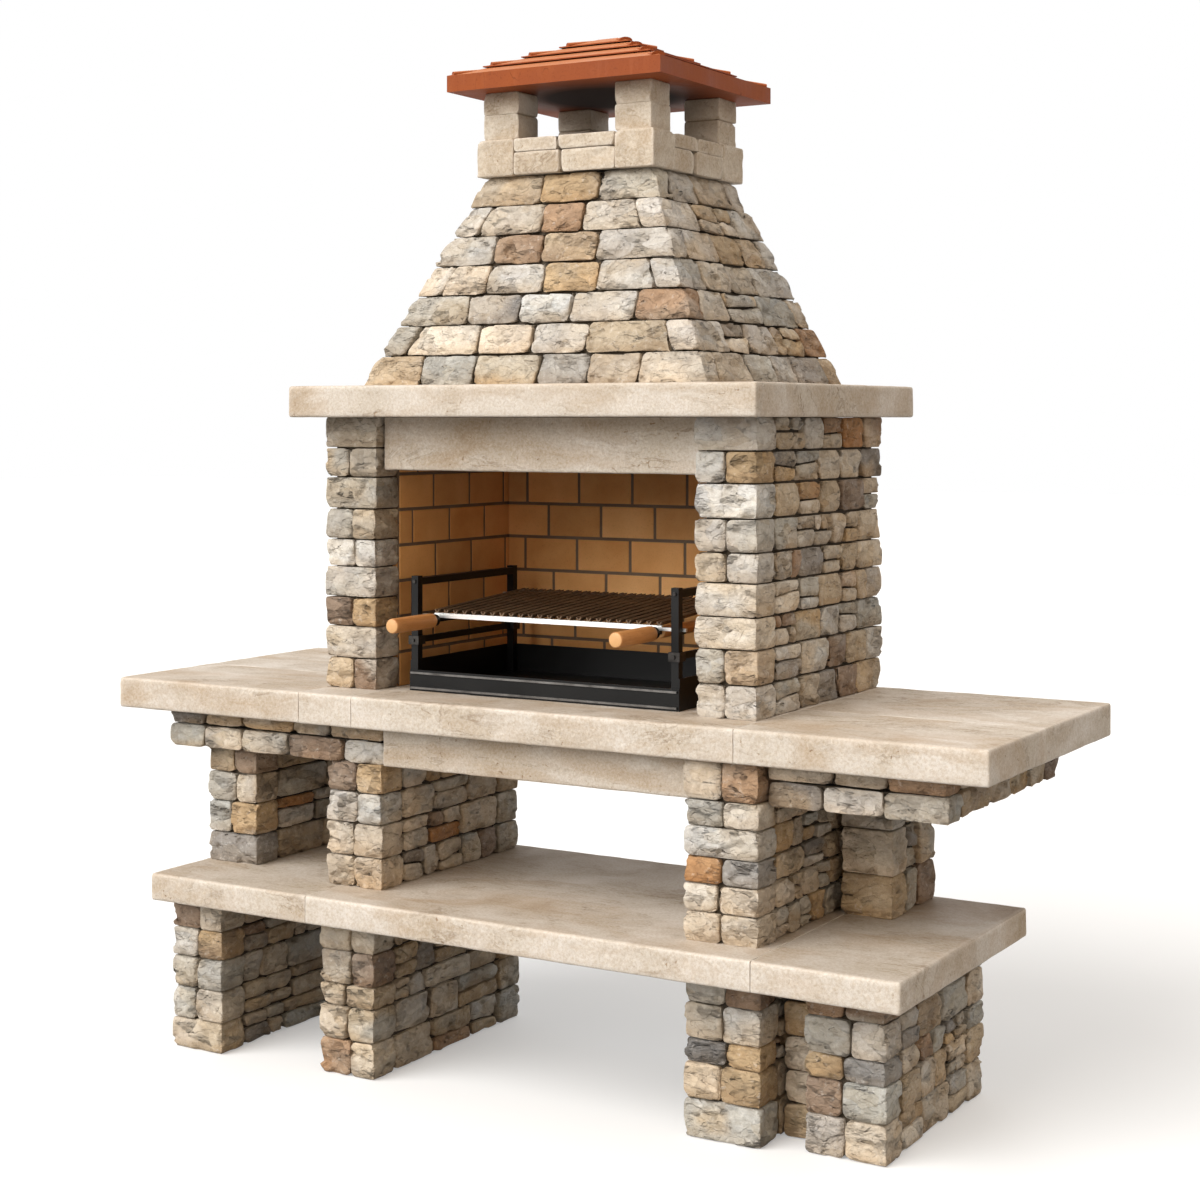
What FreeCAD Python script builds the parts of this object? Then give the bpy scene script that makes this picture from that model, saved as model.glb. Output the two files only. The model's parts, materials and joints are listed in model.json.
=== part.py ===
import FreeCAD
import Part
import math
import os
import random

Vec = FreeCAD.Vector

# All sizes are millimetres. +X is the viewer's right, -Y the front, +Z up, and the floor is z = 0.

# Worktop slabs
worktop_width = 2440.0
worktop_front = -443.0
worktop_back = 407.0
worktop_top = 960.0
worktop_thick = 80.0
strip_left = -611.0
strip_right = -445.0
right_seam = 621.0
wing_seam = -78.0

# Lower shelf slabs
shelf_width = 2096.0
shelf_front = -508.0
shelf_back = 290.0
shelf_top = 466.0
shelf_thick = 71.0
shelf_left_seam = -537.0
shelf_right_seam = 696.0
slab_edge = 5.0

# Masonry in general
joint = 4.0
end_depth = 100.0
plate_thick = 4.0
plate_inset = 16.0
leaf_share = 0.41
side_stone = 158.0
hidden_stone = 235.0
thin_share = 0.16
joint_taper = 3.0
edge_least = 7.0
edge_most = 12.0
most_recess = 5.0
floor_gap = 2.0

# Lower legs, each as left, right, front and back
outer_left_leg = (-1034.0, -864.0, -445.0, 270.0)
inner_left_leg = (-565.0, -394.0, -418.0, 258.0)
inner_right_leg = (454.0, 652.0, -369.0, 275.0)
outer_right_leg = (740.0, 940.0, -328.0, 288.0)
leg_weights = (1.0, 1.0, 0.66, 1.0, 1.08)
plain_weights = (1.0, 0.95, 1.0, 1.05, 1.0)
link_set_back = 115.0
link_depth = 90.0
link_core = 60.0

# Upper piers between shelf and worktop
outer_left_pier = (-1034.0, -866.0, -303.0, 262.0)
inner_left_pier = (-578.0, -400.0, -377.0, 262.0)
inner_right_pier = (480.0, 672.0, -418.0, 270.0)
set_back_pier = (684.0, 822.0, -8.0, 270.0)

# Corbels under the wings and the beam between the inner piers
corbel_low = 779.0
corbel_middle = 838.0
corbel_reach = 1105.0
corbel_front = -373.0
corbel_back = 366.0
corbel_depth = 92.0
corbel_stone = 150.0
beam_depth = 95.0

# Hearth walls and lining
wall_outer = 622.0
wall_inner = 458.0
wall_front = -323.0
wall_back = 407.0
pier_depth = 106.0
wall_leaf = 97.0
lining_thick = 40.0
lining_back = 293.0
rear_core = 27.0
wall_top = 1655.0
wall_courses = (1.0, 1.04, 0.96, 1.0, 0.9, 1.0, 1.04, 0.96, 1.0)
wall_stone = 134.0
brick_long = 168.0
brick_pitch = 92.0
brick_joint = 7.0
lintel_front = -290.0
lintel_depth = 70.0
lintel_low = 1520.0

# Mantel slab with its smoke opening
mantel_half = 666.0
mantel_front = -417.0
mantel_back = 508.0
mantel_thick = 80.0
smoke_half = 330.0
smoke_front = -150.0
smoke_back = 265.0

# Tapered hood
hood_half_low = 500.0
hood_front_low = -332.0
hood_back_low = 449.0
hood_half_top = 246.0
hood_front_top = -138.0
hood_back_top = 306.0
hood_top = 2269.0
hood_courses = 7
hood_leaf = 75.0
hood_shell = 35.0
hood_stone = 165.0
hood_side_stone = 150.0

# Chimney head
chimney_y = 84.0
collar_half = 261.0
collar_half_deep = 244.0
collar_height = 93.0
collar_wall = 112.0
collar_low_share = 0.62
infill_set_back = 10.0
block_edge = 4.0
post_wide = 105.0
post_deep = 100.0
post_inset = 14.0
post_height = 122.0
roof_half = 311.0
roof_half_deep = 301.0
roof_edge = 42.0
roof_rise = 110.0
roof_layers = 4
tile_lip = 6.0

# Fire tray with its two side frames
tray_half = 390.0
tray_front = -268.0
tray_back = 202.0
tray_low_wall = 53.0
tray_high_wall = 77.0
sheet = 3.0
bead = 5.0
post_side = 20.0
frame_height = 291.0
top_bar_high = 18.0
post_above_bar = 5.0
rail_level = 117.0
rail_high = 16.0
rail_thick = 7.0
clamp_wall = 5.0
clamp_high = 22.0
clamp_play = 0.4
clamp_screw = 4.5
bolt_radius = 5.0
bolt_length = 4.0

# Grill panel resting on hooks behind the front posts and before the rear posts
grill_level = 186.0
grill_rise = 25.0
grill_side_gap = 37.0
grill_bars = 24
bar_wide = 15.0
bar_high = 9.0
bar_sheet = 2.6
cross_high = 12.0
cross_deep = 8.0
pin_high = 8.0
pin_past_post = 8.0
hook_thick = 6.0
hook_lip = 6.0
grill_play = 1.0

# Handles
handle_inset = 12.0
handle_rod = 10.0
handle_back = -5.0
grip_radius = 19.0
grip_long = 172.0
grip_bevel = 3.0
grip_gap = 14.0
tang = 70.0
ferrule_radius = 15.0
ferrule_long = 14.0
sleeve_radius = 15.0
sleeve_gap = 6.0
sleeve_long = 190.0

worktop_low = worktop_top - worktop_thick
shelf_low = shelf_top - shelf_thick
mantel_top = wall_top + mantel_thick


def solid_of(faces):
    """A closed solid from flat outward polygons."""
    skin = [Part.Face(Part.makePolygon(points + points[:1])) for points in faces]
    return Part.makeSolid(Part.makeShell(skin))


def mean(points):
    total = Vec(0, 0, 0)
    for point in points:
        total = total + point
    return total * (1.0 / len(points))


def outward(points, middle):
    """The same polygon, turned so that its normal points away from middle."""
    normal = normal_of(points)
    if normal.dot(mean(points) - middle) < 0:
        return points[::-1]
    return points


def normal_of(points):
    total = Vec(0, 0, 0)
    for a, b in zip(points, points[1:] + points[:1]):
        total = total + a.cross(b)
    return total.normalize()


NEAR = 1e-6


def cut(faces, normal, level, middle):
    """Keeps what lies below level along normal and closes the cut with one flat face."""
    kept = []
    rim = {}
    for points in faces:
        side = []
        for a, b in zip(points, points[1:] + points[:1]):
            da = normal.dot(a) - level
            db = normal.dot(b) - level
            if da < NEAR:
                side.append(a)
            q = None
            if abs(da) < NEAR:
                q = a
            elif abs(db) >= NEAR and da * db < 0:
                q = a + (b - a) * (da / (da - db))
                side.append(q)
            if q is not None:
                rim[(round(q.x, 4), round(q.y, 4), round(q.z, 4))] = q
        if len(side) > 2:
            kept.append(side)
    if len(rim) < 3:
        return faces
    ring = list(rim.values())
    centre = mean(ring)
    u = (ring[0] - centre).normalize()
    v = normal.cross(u)
    ring.sort(key=lambda p: math.atan2((p - centre).dot(v), (p - centre).dot(u)))
    return kept + [outward(ring, middle)]


FACES = ("start", "end", "out", "in", "low", "high")


def axis_of(name):
    return FACES.index(name) // 2


def corners_of(name):
    """The four corners of a named face, each as its place along the block's three directions."""
    axis, end = divmod(FACES.index(name), 2)
    loop = ((0, 0), (0, 1), (1, 1), (1, 0))
    return [pair[:axis] + (end,) + pair[axis:] for pair in loop]


def flip(index, axis):
    return tuple(1 - n if a == axis else n for a, n in enumerate(index))


def step(a, b, length):
    """A point at the given length on the way from a to b."""
    return a + Vec(b - a).normalize() * length


def edge_plane(corner, name, other, shown, edge, middle):
    """Plane that breaks the edge between two faces of a block."""
    first, second = [i for i in corners_of(name) if i in corners_of(other)]
    hidden, across = axis_of(name), axis_of(other)
    if other in shown:
        hidden, across = across, hidden
    p, q = [step(corner[i], corner[flip(i, hidden)], edge) for i in (first, second)]
    opposite = (corner[flip(first, across)] + corner[flip(second, across)]) * 0.5
    r = step((corner[first] + corner[second]) * 0.5, opposite, edge)
    normal = (q - p).cross(r - p).normalize()
    if normal.dot(corner[first] - middle) < 0:
        normal = normal * -1.0
    return normal, normal.dot(p)


def block(corner, shown=(), edge=0.0, kept=("in",)):
    """A six-sided block; the edges round each shown face are broken, but not those with a kept face."""
    middle = mean(list(corner.values()))
    polygons = [outward([corner[i] for i in corners_of(name)], middle) for name in FACES]
    done = set()
    for name in shown:
        for other in FACES:
            pair = frozenset((name, other))
            if axis_of(name) == axis_of(other) or pair in done or other in kept:
                continue
            done.add(pair)
            normal, level = edge_plane(corner, name, other, shown, edge, middle)
            polygons = cut(polygons, normal, level, middle)
    return solid_of(polygons)


def box_corners(x0, x1, y0, y1, z0, z1, slope=0.0, slope_from=0.0):
    """Corners of a box; with a slope its height grows towards the back."""
    corner = {}
    for i, x in enumerate((x0, x1)):
        for j, y in enumerate((y0, y1)):
            for k, z in enumerate((z0, z1)):
                corner[(i, j, k)] = Vec(x, y, z + slope * (y - slope_from))
    return corner


def box(x0, x1, y0, y1, z0, z1):
    return Part.makeBox(x1 - x0, y1 - y0, z1 - z0, Vec(x0, y0, z0))


def slab(x0, x1, y0, y1, z0, z1):
    """A stone slab with all its edges broken."""
    return block(box_corners(x0, x1, y0, y1, z0, z1), FACES, slab_edge, ())


def save(name, solids):
    shape = solids[0] if len(solids) == 1 else Part.makeCompound(solids)
    shape.exportStep("parts/" + name + ".step")


def courses(low, high, weights):
    """Heights where each course begins and ends."""
    total = sum(weights)
    level = low
    rows = []
    for weight in weights:
        rows.append((level, level + (high - low) * weight / total))
        level = rows[-1][1]
    return rows


def split(rng, length, wanted):
    """Uneven cuts of a run into stones of about the wanted length."""
    count = max(1, int(round(length / wanted)))
    shares = [rng.uniform(0.72, 1.3) for _ in range(count)]
    total = sum(shares)
    cuts = [0.0]
    for share in shares:
        cuts.append(cuts[-1] + length * share / total)
    return cuts


class Run:
    """A straight run of facing stones on a core. Their faces have broken edges, or joints that taper."""

    def __init__(self, start, along, inward, length, depth, start_open, end_open, broken=True):
        self.start = start
        self.along = along
        self.inward = inward
        self.length = length
        self.depth = depth
        self.start_open = start_open
        self.end_open = end_open
        self.broken = broken

    def stone(self, rng, s0, s1, z0, z1, low_gap, high_gap):
        open_start = self.start_open and s0 <= 0.01
        open_end = self.end_open and s1 >= self.length - 0.01
        half = joint / 2
        a = s0 + (0 if open_start else half)
        b = s1 - (0 if open_end else half)
        recess = rng.uniform(0, most_recess)
        low = z0 + low_gap
        high = z1 - high_gap
        taper = 0.0 if self.broken else joint_taper
        corner = {}
        for j, (depth, inset) in enumerate(((recess, taper), (self.depth, 0.0))):
            ends = (a + (0 if open_start else inset), b - (0 if open_end else inset))
            beds = (low + (inset if low_gap else 0), high - (inset if high_gap else 0))
            for i, s in enumerate(ends):
                for k, z in enumerate(beds):
                    point = self.start + self.along * s + self.inward * depth
                    corner[(i, j, k)] = Vec(point.x, point.y, z)
        shown = []
        if self.broken:
            shown = ["out"] + ["start"] * open_start + ["end"] * open_end
        edge = min(rng.uniform(edge_least, edge_most), 0.3 * min(b - a, high - low))
        return block(corner, shown, edge)

    def course(self, rng, row, cuts, thin, low_gap, high_gap):
        """One course; a share of its stones is laid as two thin ones."""
        z0, z1 = row
        half = joint / 2
        stones = []
        for s0, s1 in zip(cuts, cuts[1:]):
            if rng.random() < thin:
                zc = z0 + (z1 - z0) * rng.uniform(0.42, 0.58)
                stones.append(self.stone(rng, s0, s1, z0, zc, low_gap, half))
                stones.append(self.stone(rng, s0, s1, zc, z1, half, high_gap))
            else:
                stones.append(self.stone(rng, s0, s1, z0, z1, low_gap, high_gap))
        return stones


def lay(rng, run, rows, cut_rows, thin, lift=0.0):
    """All courses of a run. The first stands on what is below it, the last carries what is above."""
    stones = []
    half = joint / 2
    for n, (row, cuts) in enumerate(zip(rows, cut_rows)):
        low_gap = lift if n == 0 else half
        high_gap = 0.0 if n == len(rows) - 1 else half
        stones += run.course(rng, row, cuts, thin, low_gap, high_gap)
    return stones


def head_cuts(rng, width, pairs):
    """Cuts across the end of a wall: a pair of blocks, or one long block."""
    rows = []
    for pair in pairs:
        middle = width * rng.uniform(0.44, 0.56)
        rows.append([0.0, middle, width] if pair else [0.0, width])
    return rows


def pier(seed, x0, x1, y0, y1, z0, z1, weights, pairs, lift):
    """A free-standing stone pier: its mortar core of three boxes, and its facing stones."""
    rng = random.Random(seed)
    width = x1 - x0
    leaf = width * leaf_share
    front = y0 + end_depth
    back = y1 - end_depth
    cores = [
        box(x0 + plate_inset, x1 - plate_inset, front, front + plate_thick, z0, z1),
        box(x0 + plate_inset, x1 - plate_inset, back - plate_thick, back, z0, z1),
        box(x0 + leaf, x1 - leaf, front + plate_thick, back - plate_thick, z0, z1),
    ]
    rows = courses(z0, z1, weights)
    head = Run(Vec(x0, y0, 0), Vec(1, 0, 0), Vec(0, 1, 0), width, end_depth, True, True)
    tail = Run(Vec(x1, y1, 0), Vec(-1, 0, 0), Vec(0, -1, 0), width, end_depth, True, True, False)
    long_side = back - front - 2 * plate_thick
    start = Vec(x0, back - plate_thick, 0)
    left = Run(start, Vec(0, -1, 0), Vec(1, 0, 0), long_side, leaf, False, False, False)
    start = Vec(x1, front + plate_thick, 0)
    right = Run(start, Vec(0, 1, 0), Vec(-1, 0, 0), long_side, leaf, False, False, False)
    left_cuts = [split(rng, long_side, hidden_stone) for _ in rows]
    right_cuts = [split(rng, long_side, side_stone) for _ in rows]
    stones = lay(rng, head, rows, head_cuts(rng, width, pairs), 0.0, lift)
    stones += lay(rng, tail, rows, head_cuts(rng, width, [False] * len(rows)), 0.0, lift)
    stones += lay(rng, left, rows, left_cuts, 0.0, lift)
    stones += lay(rng, right, rows, right_cuts, thin_share, lift)
    return cores, stones


def legs():
    """The four lower legs with the short wall that links the right-hand pair."""
    plans = (
        ("outer_left_leg_stones", outer_left_leg, plain_weights, (1, 1, 1, 1, 0), 11),
        ("inner_left_leg_stones", inner_left_leg, leg_weights, (1, 1, 1, 1, 1), 12),
        ("inner_right_leg_stones", inner_right_leg, leg_weights, (1, 1, 1, 1, 0), 13),
        ("outer_right_leg_stones", outer_right_leg, leg_weights, (1, 1, 1, 1, 1), 14),
    )
    cores = []
    for name, (x0, x1, y0, y1), weights, pairs, seed in plans:
        made, stones = pier(
            seed, x0, x1, y0, y1, 0.0, shelf_low, weights[::-1], pairs[::-1], floor_gap
        )
        cores += made
        save(name, stones)
    rng = random.Random(15)
    x0 = inner_right_leg[1]
    x1 = outer_right_leg[0]
    y0 = inner_right_leg[2] + link_set_back
    cores.append(box(x0, x1, y0 + link_depth, y0 + link_depth + link_core, 0.0, shelf_low))
    run = Run(Vec(x0, y0, 0), Vec(1, 0, 0), Vec(0, 1, 0), x1 - x0, link_depth, False, False)
    rows = courses(0.0, shelf_low, plain_weights)
    save("leg_link_stones", lay(rng, run, rows, [[0.0, x1 - x0] for _ in rows], 0.0, floor_gap))
    save("leg_cores", cores)


def piers():
    """The four piers between shelf and worktop. The inner right one runs up to the worktop itself."""
    outer = (1.0, 1.08, 1.0, 0.94)
    tall = (1.0, 0.94, 0.9, 1.0, 0.9, 1.35)
    plans = (
        ("outer_left_pier_stones", outer_left_pier, corbel_low, outer, (0, 1, 1, 1), 21),
        ("inner_left_pier_stones", inner_left_pier, corbel_low, outer, (1, 1, 1, 1), 22),
        ("inner_right_pier_stones", inner_right_pier, worktop_low, tall, (1, 1, 1, 0, 1, 1), 23),
    )
    cores = []
    for name, (x0, x1, y0, y1), top, weights, pairs, seed in plans:
        made, stones = pier(
            seed, x0, x1, y0, y1, shelf_top, top, weights, pairs, 0.0
        )
        cores += made
        save(name, stones)
    x0, x1, y0, y1 = set_back_pier
    weights = (1.0, 1.1, 1.05)
    made, stones = pier(24, x0, x1, y0, y1, shelf_top, corbel_low, weights, (0, 0, 0), 0.0)
    save("set_back_pier_stones", stones)
    save("pier_cores", cores + made)


def corbel(seed, x0, x1, outer):
    """The stepped stone band under one wing; outer is the sign of its free end."""
    rng = random.Random(seed)
    rows = [(corbel_low, corbel_middle), (corbel_middle, worktop_low)]
    width = x1 - x0
    deep = corbel_back - corbel_front - 2 * corbel_depth
    left_open = outer < 0
    free = x0 if left_open else x1
    inner = free - outer * corbel_depth
    core = box(min(inner, x0 if outer > 0 else x1), max(inner, x0 if outer > 0 else x1),
               corbel_front + corbel_depth, corbel_back - corbel_depth, corbel_low, worktop_low)
    front = Run(Vec(x0, corbel_front, 0), Vec(1, 0, 0), Vec(0, 1, 0), width, corbel_depth, True, True)
    start = Vec(x1, corbel_back, 0)
    back = Run(start, Vec(-1, 0, 0), Vec(0, -1, 0), width, corbel_depth, True, True, False)
    if left_open:
        start = Vec(free, corbel_back - corbel_depth, 0)
        side = Run(start, Vec(0, -1, 0), Vec(1, 0, 0), deep, corbel_depth, False, False, False)
    else:
        start = Vec(free, corbel_front + corbel_depth, 0)
        side = Run(start, Vec(0, 1, 0), Vec(-1, 0, 0), deep, corbel_depth, False, False, False)
    stones = lay(rng, front, rows, [split(rng, width, corbel_stone) for _ in rows], 0.0)
    stones += lay(rng, side, rows, [split(rng, deep, corbel_stone) for _ in rows], 0.0)
    stones += lay(rng, back, rows, [split(rng, width, hidden_stone) for _ in rows], 0.0)
    return core, stones


def corbels():
    left_core, left = corbel(31, -corbel_reach, inner_left_pier[1], -1)
    right_core, right = corbel(32, inner_right_pier[1], corbel_reach, 1)
    save("corbel_cores", [left_core, right_core])
    save("left_corbel_stones", left)
    save("right_corbel_stones", right)
    beam = slab(inner_left_pier[1], inner_right_pier[0], corbel_front, corbel_front + beam_depth,
                corbel_low, worktop_low)
    save("apron_beam", [beam])


def slabs():
    half = worktop_width / 2
    z0 = worktop_low
    z1 = worktop_top
    save("worktop_left_front", [slab(-half, strip_left, worktop_front, wing_seam, z0, z1)])
    save("worktop_left_back", [slab(-half, strip_left, wing_seam, worktop_back, z0, z1)])
    save("worktop_strip", [slab(strip_left, strip_right, worktop_front, worktop_back, z0, z1)])
    save("worktop_middle", [slab(strip_right, right_seam, worktop_front, worktop_back, z0, z1)])
    save("worktop_right_front", [slab(right_seam, half, worktop_front, wing_seam, z0, z1)])
    save("worktop_right_back", [slab(right_seam, half, wing_seam, worktop_back, z0, z1)])
    half = shelf_width / 2
    z0 = shelf_low
    z1 = shelf_top
    save("shelf_left", [slab(-half, shelf_left_seam, shelf_front, shelf_back, z0, z1)])
    save("shelf_middle", [slab(shelf_left_seam, shelf_right_seam, shelf_front, shelf_back, z0, z1)])
    save("shelf_right", [slab(shelf_right_seam, half, shelf_front, shelf_back, z0, z1)])


def bricks(rng, start, along, inward, length):
    """Lining bricks in running bond, the top course cut to fit."""
    solids = []
    row = 0
    level = worktop_top
    while level < wall_top - brick_joint:
        high = min(level + brick_pitch - brick_joint, wall_top)
        s = -brick_long * (0.5 if row % 2 else 0.0) - rng.uniform(0, 0.2) * brick_long
        while s < length:
            a = max(s, 0.0)
            b = min(s + brick_long - brick_joint, length)
            if b - a > 3 * brick_joint:
                p = start + along * a
                q = start + along * b + inward * lining_thick
                solids.append(box(min(p.x, q.x), max(p.x, q.x), min(p.y, q.y), max(p.y, q.y), level, high))
            s += brick_long
        row += 1
        level += brick_pitch
    return solids


def hearth():
    """Side walls, rear wall and lining of the fire chamber, and the lintel over its mouth."""
    z0 = worktop_top
    z1 = wall_top
    rows = courses(z0, z1, wall_courses)
    thick = wall_outer - wall_inner
    plate = wall_front + pier_depth
    lining_outer = wall_inner + lining_thick
    leaf_face = wall_outer - wall_leaf
    lining_rear = lining_back + lining_thick
    core_back = lining_rear + rear_core
    cores = [box(-lining_outer, lining_outer, lining_rear, core_back, z0, z1)]
    for sign, name, pairs, seed in (
        (-1, "left_hearth_wall_stones", (1, 0, 1, 0, 1, 1, 0, 1, 0), 41),
        (1, "right_hearth_wall_stones", (1, 1, 0, 0, 1, 1, 0, 1, 0), 42),
    ):
        rng = random.Random(seed)
        ends = sorted((sign * (wall_outer - plate_inset), sign * lining_outer))
        web = sorted((sign * leaf_face, sign * lining_outer))
        cores.append(box(ends[0], ends[1], plate, plate + plate_thick, z0, z1))
        cores.append(box(web[0], web[1], plate + plate_thick, core_back, z0, z1))
        left = min(sign * wall_outer, sign * wall_inner)
        head = Run(Vec(left, wall_front, 0), Vec(1, 0, 0), Vec(0, 1, 0), thick, pier_depth, True, True)
        long_side = wall_back - plate - plate_thick
        if sign > 0:
            begin = Vec(wall_outer, plate + plate_thick, 0)
            side = Run(begin, Vec(0, 1, 0), Vec(-1, 0, 0), long_side, wall_leaf, False, True, False)
        else:
            begin = Vec(-wall_outer, wall_back, 0)
            side = Run(begin, Vec(0, -1, 0), Vec(1, 0, 0), long_side, wall_leaf, True, False, False)
        wanted = wall_stone if sign > 0 else hidden_stone
        cuts = [split(rng, long_side, wanted) for _ in rows]
        stones = lay(rng, head, rows, head_cuts(rng, thick, pairs), 0.0)
        stones += lay(rng, side, rows, cuts, thin_share if sign > 0 else 0.0)
        save(name, stones)
    save("hearth_cores", cores)
    rng = random.Random(43)
    rear_depth = wall_back - core_back
    start = Vec(leaf_face, wall_back, 0)
    rear = Run(start, Vec(-1, 0, 0), Vec(0, -1, 0), 2 * leaf_face, rear_depth, False, False, False)
    cuts = [split(rng, 2 * leaf_face, hidden_stone) for _ in rows]
    save("rear_wall_stones", lay(rng, rear, rows, cuts, 0.0))
    side_long = lining_rear - plate
    save("left_firebricks", bricks(random.Random(51), Vec(-wall_inner, lining_rear, 0), Vec(0, -1, 0),
                                   Vec(-1, 0, 0), side_long))
    save("right_firebricks", bricks(random.Random(52), Vec(wall_inner, lining_rear, 0), Vec(0, -1, 0),
                                    Vec(1, 0, 0), side_long))
    save("rear_firebricks", bricks(random.Random(53), Vec(-wall_inner, lining_back, 0), Vec(1, 0, 0),
                                   Vec(0, 1, 0), 2 * wall_inner))
    save("lintel", [slab(-wall_inner, wall_inner, lintel_front, lintel_front + lintel_depth, lintel_low, z1)])


def mantel():
    body = slab(-mantel_half, mantel_half, mantel_front, mantel_back, wall_top, mantel_top)
    hole = box(-smoke_half, smoke_half, smoke_front, smoke_back, wall_top - 10, mantel_top + 10)
    save("mantel_slab", [body.cut(hole)])


def hood_at(z, inset):
    """Half width, front and back of the hood at a height, moved inward by inset."""
    t = (z - mantel_top) / (hood_top - mantel_top)
    half = hood_half_low + (hood_half_top - hood_half_low) * t
    front = hood_front_low + (hood_front_top - hood_front_low) * t
    back = hood_back_low + (hood_back_top - hood_back_low) * t
    return half - inset, front + inset, back - inset


def hood_point(face, s, z, inset):
    """A point on one of the four sloping faces, s being measured along it from the middle line."""
    half, front, back = hood_at(z, inset)
    if face == "front":
        return Vec(s, front, z)
    if face == "back":
        return Vec(s, back, z)
    if face == "left":
        return Vec(-half, s, z)
    return Vec(half, s, z)


def hood_ends(face, z, inset):
    """Where a face meets the two faces beside it, both moved inward by inset."""
    half, front, back = hood_at(z, inset)
    if face in ("front", "back"):
        return -half, half
    return front, back


def hood():
    """Sloping shell of four panels, faced with courses whose corner blocks alternate."""
    panels = []
    for face in ("front", "back", "left", "right"):
        corner = {}
        for j, inset in enumerate((hood_leaf, hood_leaf + hood_shell)):
            for k, z in enumerate((mantel_top, hood_top)):
                for i in range(2):
                    corner[(i, j, k)] = hood_point(face, hood_ends(face, z, inset)[i], z, inset)
        panels.append(block(corner))
    save("hood_shell", panels)
    rng = random.Random(61)
    rows = courses(mantel_top, hood_top, [1.0] * hood_courses)
    half = joint / 2
    stones = []
    for face in ("front", "back", "left", "right"):
        broken = face in ("front", "right")
        face_taper = 0.0 if broken else joint_taper
        for n, (z0, z1) in enumerate(rows):
            low = z0 + (0.0 if n == 0 else half)
            high = z1 - (0.0 if n == hood_courses - 1 else half)
            owner = (n % 2 == 0) == (face in ("front", "back"))
            inset = 0.0 if owner else hood_leaf
            a0, b0 = hood_ends(face, (z0 + z1) / 2, inset)
            wanted = {"front": hood_stone, "right": hood_side_stone}.get(face, hidden_stone)
            cuts = split(rng, b0 - a0, wanted)
            last = len(cuts) - 2
            for m in range(last + 1):
                recess = rng.uniform(0, most_recess)
                open_start = owner and m == 0
                open_end = owner and m == last
                corner = {}
                for j, (depth, taper) in enumerate(((recess, face_taper), (hood_leaf, 0.0))):
                    beds = (low + (taper if n else 0), high - (taper if n < hood_courses - 1 else 0))
                    for k, z in enumerate(beds):
                        a, b = hood_ends(face, z, inset)
                        s0 = a + (0.0 if owner else half) if m == 0 else a0 + cuts[m] + half
                        s1 = b - (0.0 if owner else half) if m == last else a0 + cuts[m + 1] - half
                        ends = (s0 + (0 if open_start else taper), s1 - (0 if open_end else taper))
                        for i, s in enumerate(ends):
                            corner[(i, j, k)] = hood_point(face, s, z, depth)
                shown = []
                if broken:
                    shown = ["out"] + ["start"] * open_start + ["end"] * open_end
                stones.append(block(corner, shown, rng.uniform(edge_least, edge_most)))
    save("hood_stones", stones)


def chimney():
    """Collar of corner blocks and infill, four posts of two blocks each, and the tiled roof."""
    rng = random.Random(71)
    z0 = hood_top
    z1 = z0 + collar_height
    zc = z0 + collar_height * collar_low_share
    beds = ("low", "high")
    y0 = chimney_y - collar_half_deep
    y1 = chimney_y + collar_half_deep
    corners = []
    for x in (-collar_half, collar_half - collar_wall):
        for y in (y0, y1 - collar_wall):
            corner = box_corners(x, x + collar_wall, y, y + collar_wall, z0, z1)
            corners.append(block(corner, ("out", "in"), block_edge, beds))
    save("collar_corner_stones", corners)
    infill = []
    wide = 2 * (collar_half - collar_wall)
    deep = 2 * (collar_half_deep - collar_wall)
    leaf = collar_wall - infill_set_back
    ends = (
        (Vec(-wide / 2, y0, 0), Vec(1, 0, 0), Vec(0, 1, 0), wide),
        (Vec(wide / 2, y1, 0), Vec(-1, 0, 0), Vec(0, -1, 0), wide),
        (Vec(collar_half, chimney_y - deep / 2, 0), Vec(0, 1, 0), Vec(-1, 0, 0), deep),
        (Vec(-collar_half, chimney_y + deep / 2, 0), Vec(0, -1, 0), Vec(1, 0, 0), deep),
    )
    for start, along, inward, length in ends:
        run = Run(start, along, inward, length, leaf, False, False, False)
        for low, high in ((z0, zc), (zc, z1)):
            cuts = [0.0, run.length * rng.uniform(0.4, 0.6), run.length]
            infill += run.course(rng, (low, high), cuts, 0.0, 0.0, 0.0)
    save("collar_infill_stones", infill)
    z2 = z1 + post_height
    px = collar_half - post_inset - post_wide
    py = collar_half_deep - post_inset - post_deep
    blocks = []
    for x in (-px - post_wide, px):
        for y in (chimney_y - py - post_deep, chimney_y + py):
            for low, high in courses(z1, z2, (1.08, 0.92)):
                corner = box_corners(x, x + post_wide, y, y + post_deep, low, high)
                blocks.append(block(corner, ("out", "in"), block_edge, beds))
    save("chimney_posts", blocks)
    roof(z2)


def hipped(half, deep, low, lip, rise, run):
    """A low hipped layer: a vertical lip, then four slopes rising by rise over run."""
    corner = box_corners(-half, half, chimney_y - deep, chimney_y + deep, low + lip, low + lip + rise)
    for i, sign in ((0, 1), (1, -1)):
        for j, turn in ((0, 1), (1, -1)):
            corner[(i, j, 1)] = corner[(i, j, 1)] + Vec(sign * run, turn * run, 0)
    foot = box(-half, half, chimney_y - deep, chimney_y + deep, low, low + lip)
    return foot.fuse(block(corner)).removeSplitter()


def roof(low):
    inward = min(roof_half, roof_half_deep) / (roof_layers + 0.25)
    rise = (roof_rise - (roof_layers - 1) * tile_lip) / roof_layers
    save("roof_slab", [hipped(roof_half, roof_half_deep, low, roof_edge, rise, inward)])
    level = low + roof_edge + rise
    layers = []
    for n in range(1, roof_layers):
        half = roof_half - n * inward
        deep = roof_half_deep - n * inward
        layers.append(hipped(half, deep, level, tile_lip, rise, inward))
        level += tile_lip + rise
    save("roof_tiles", layers)


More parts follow.
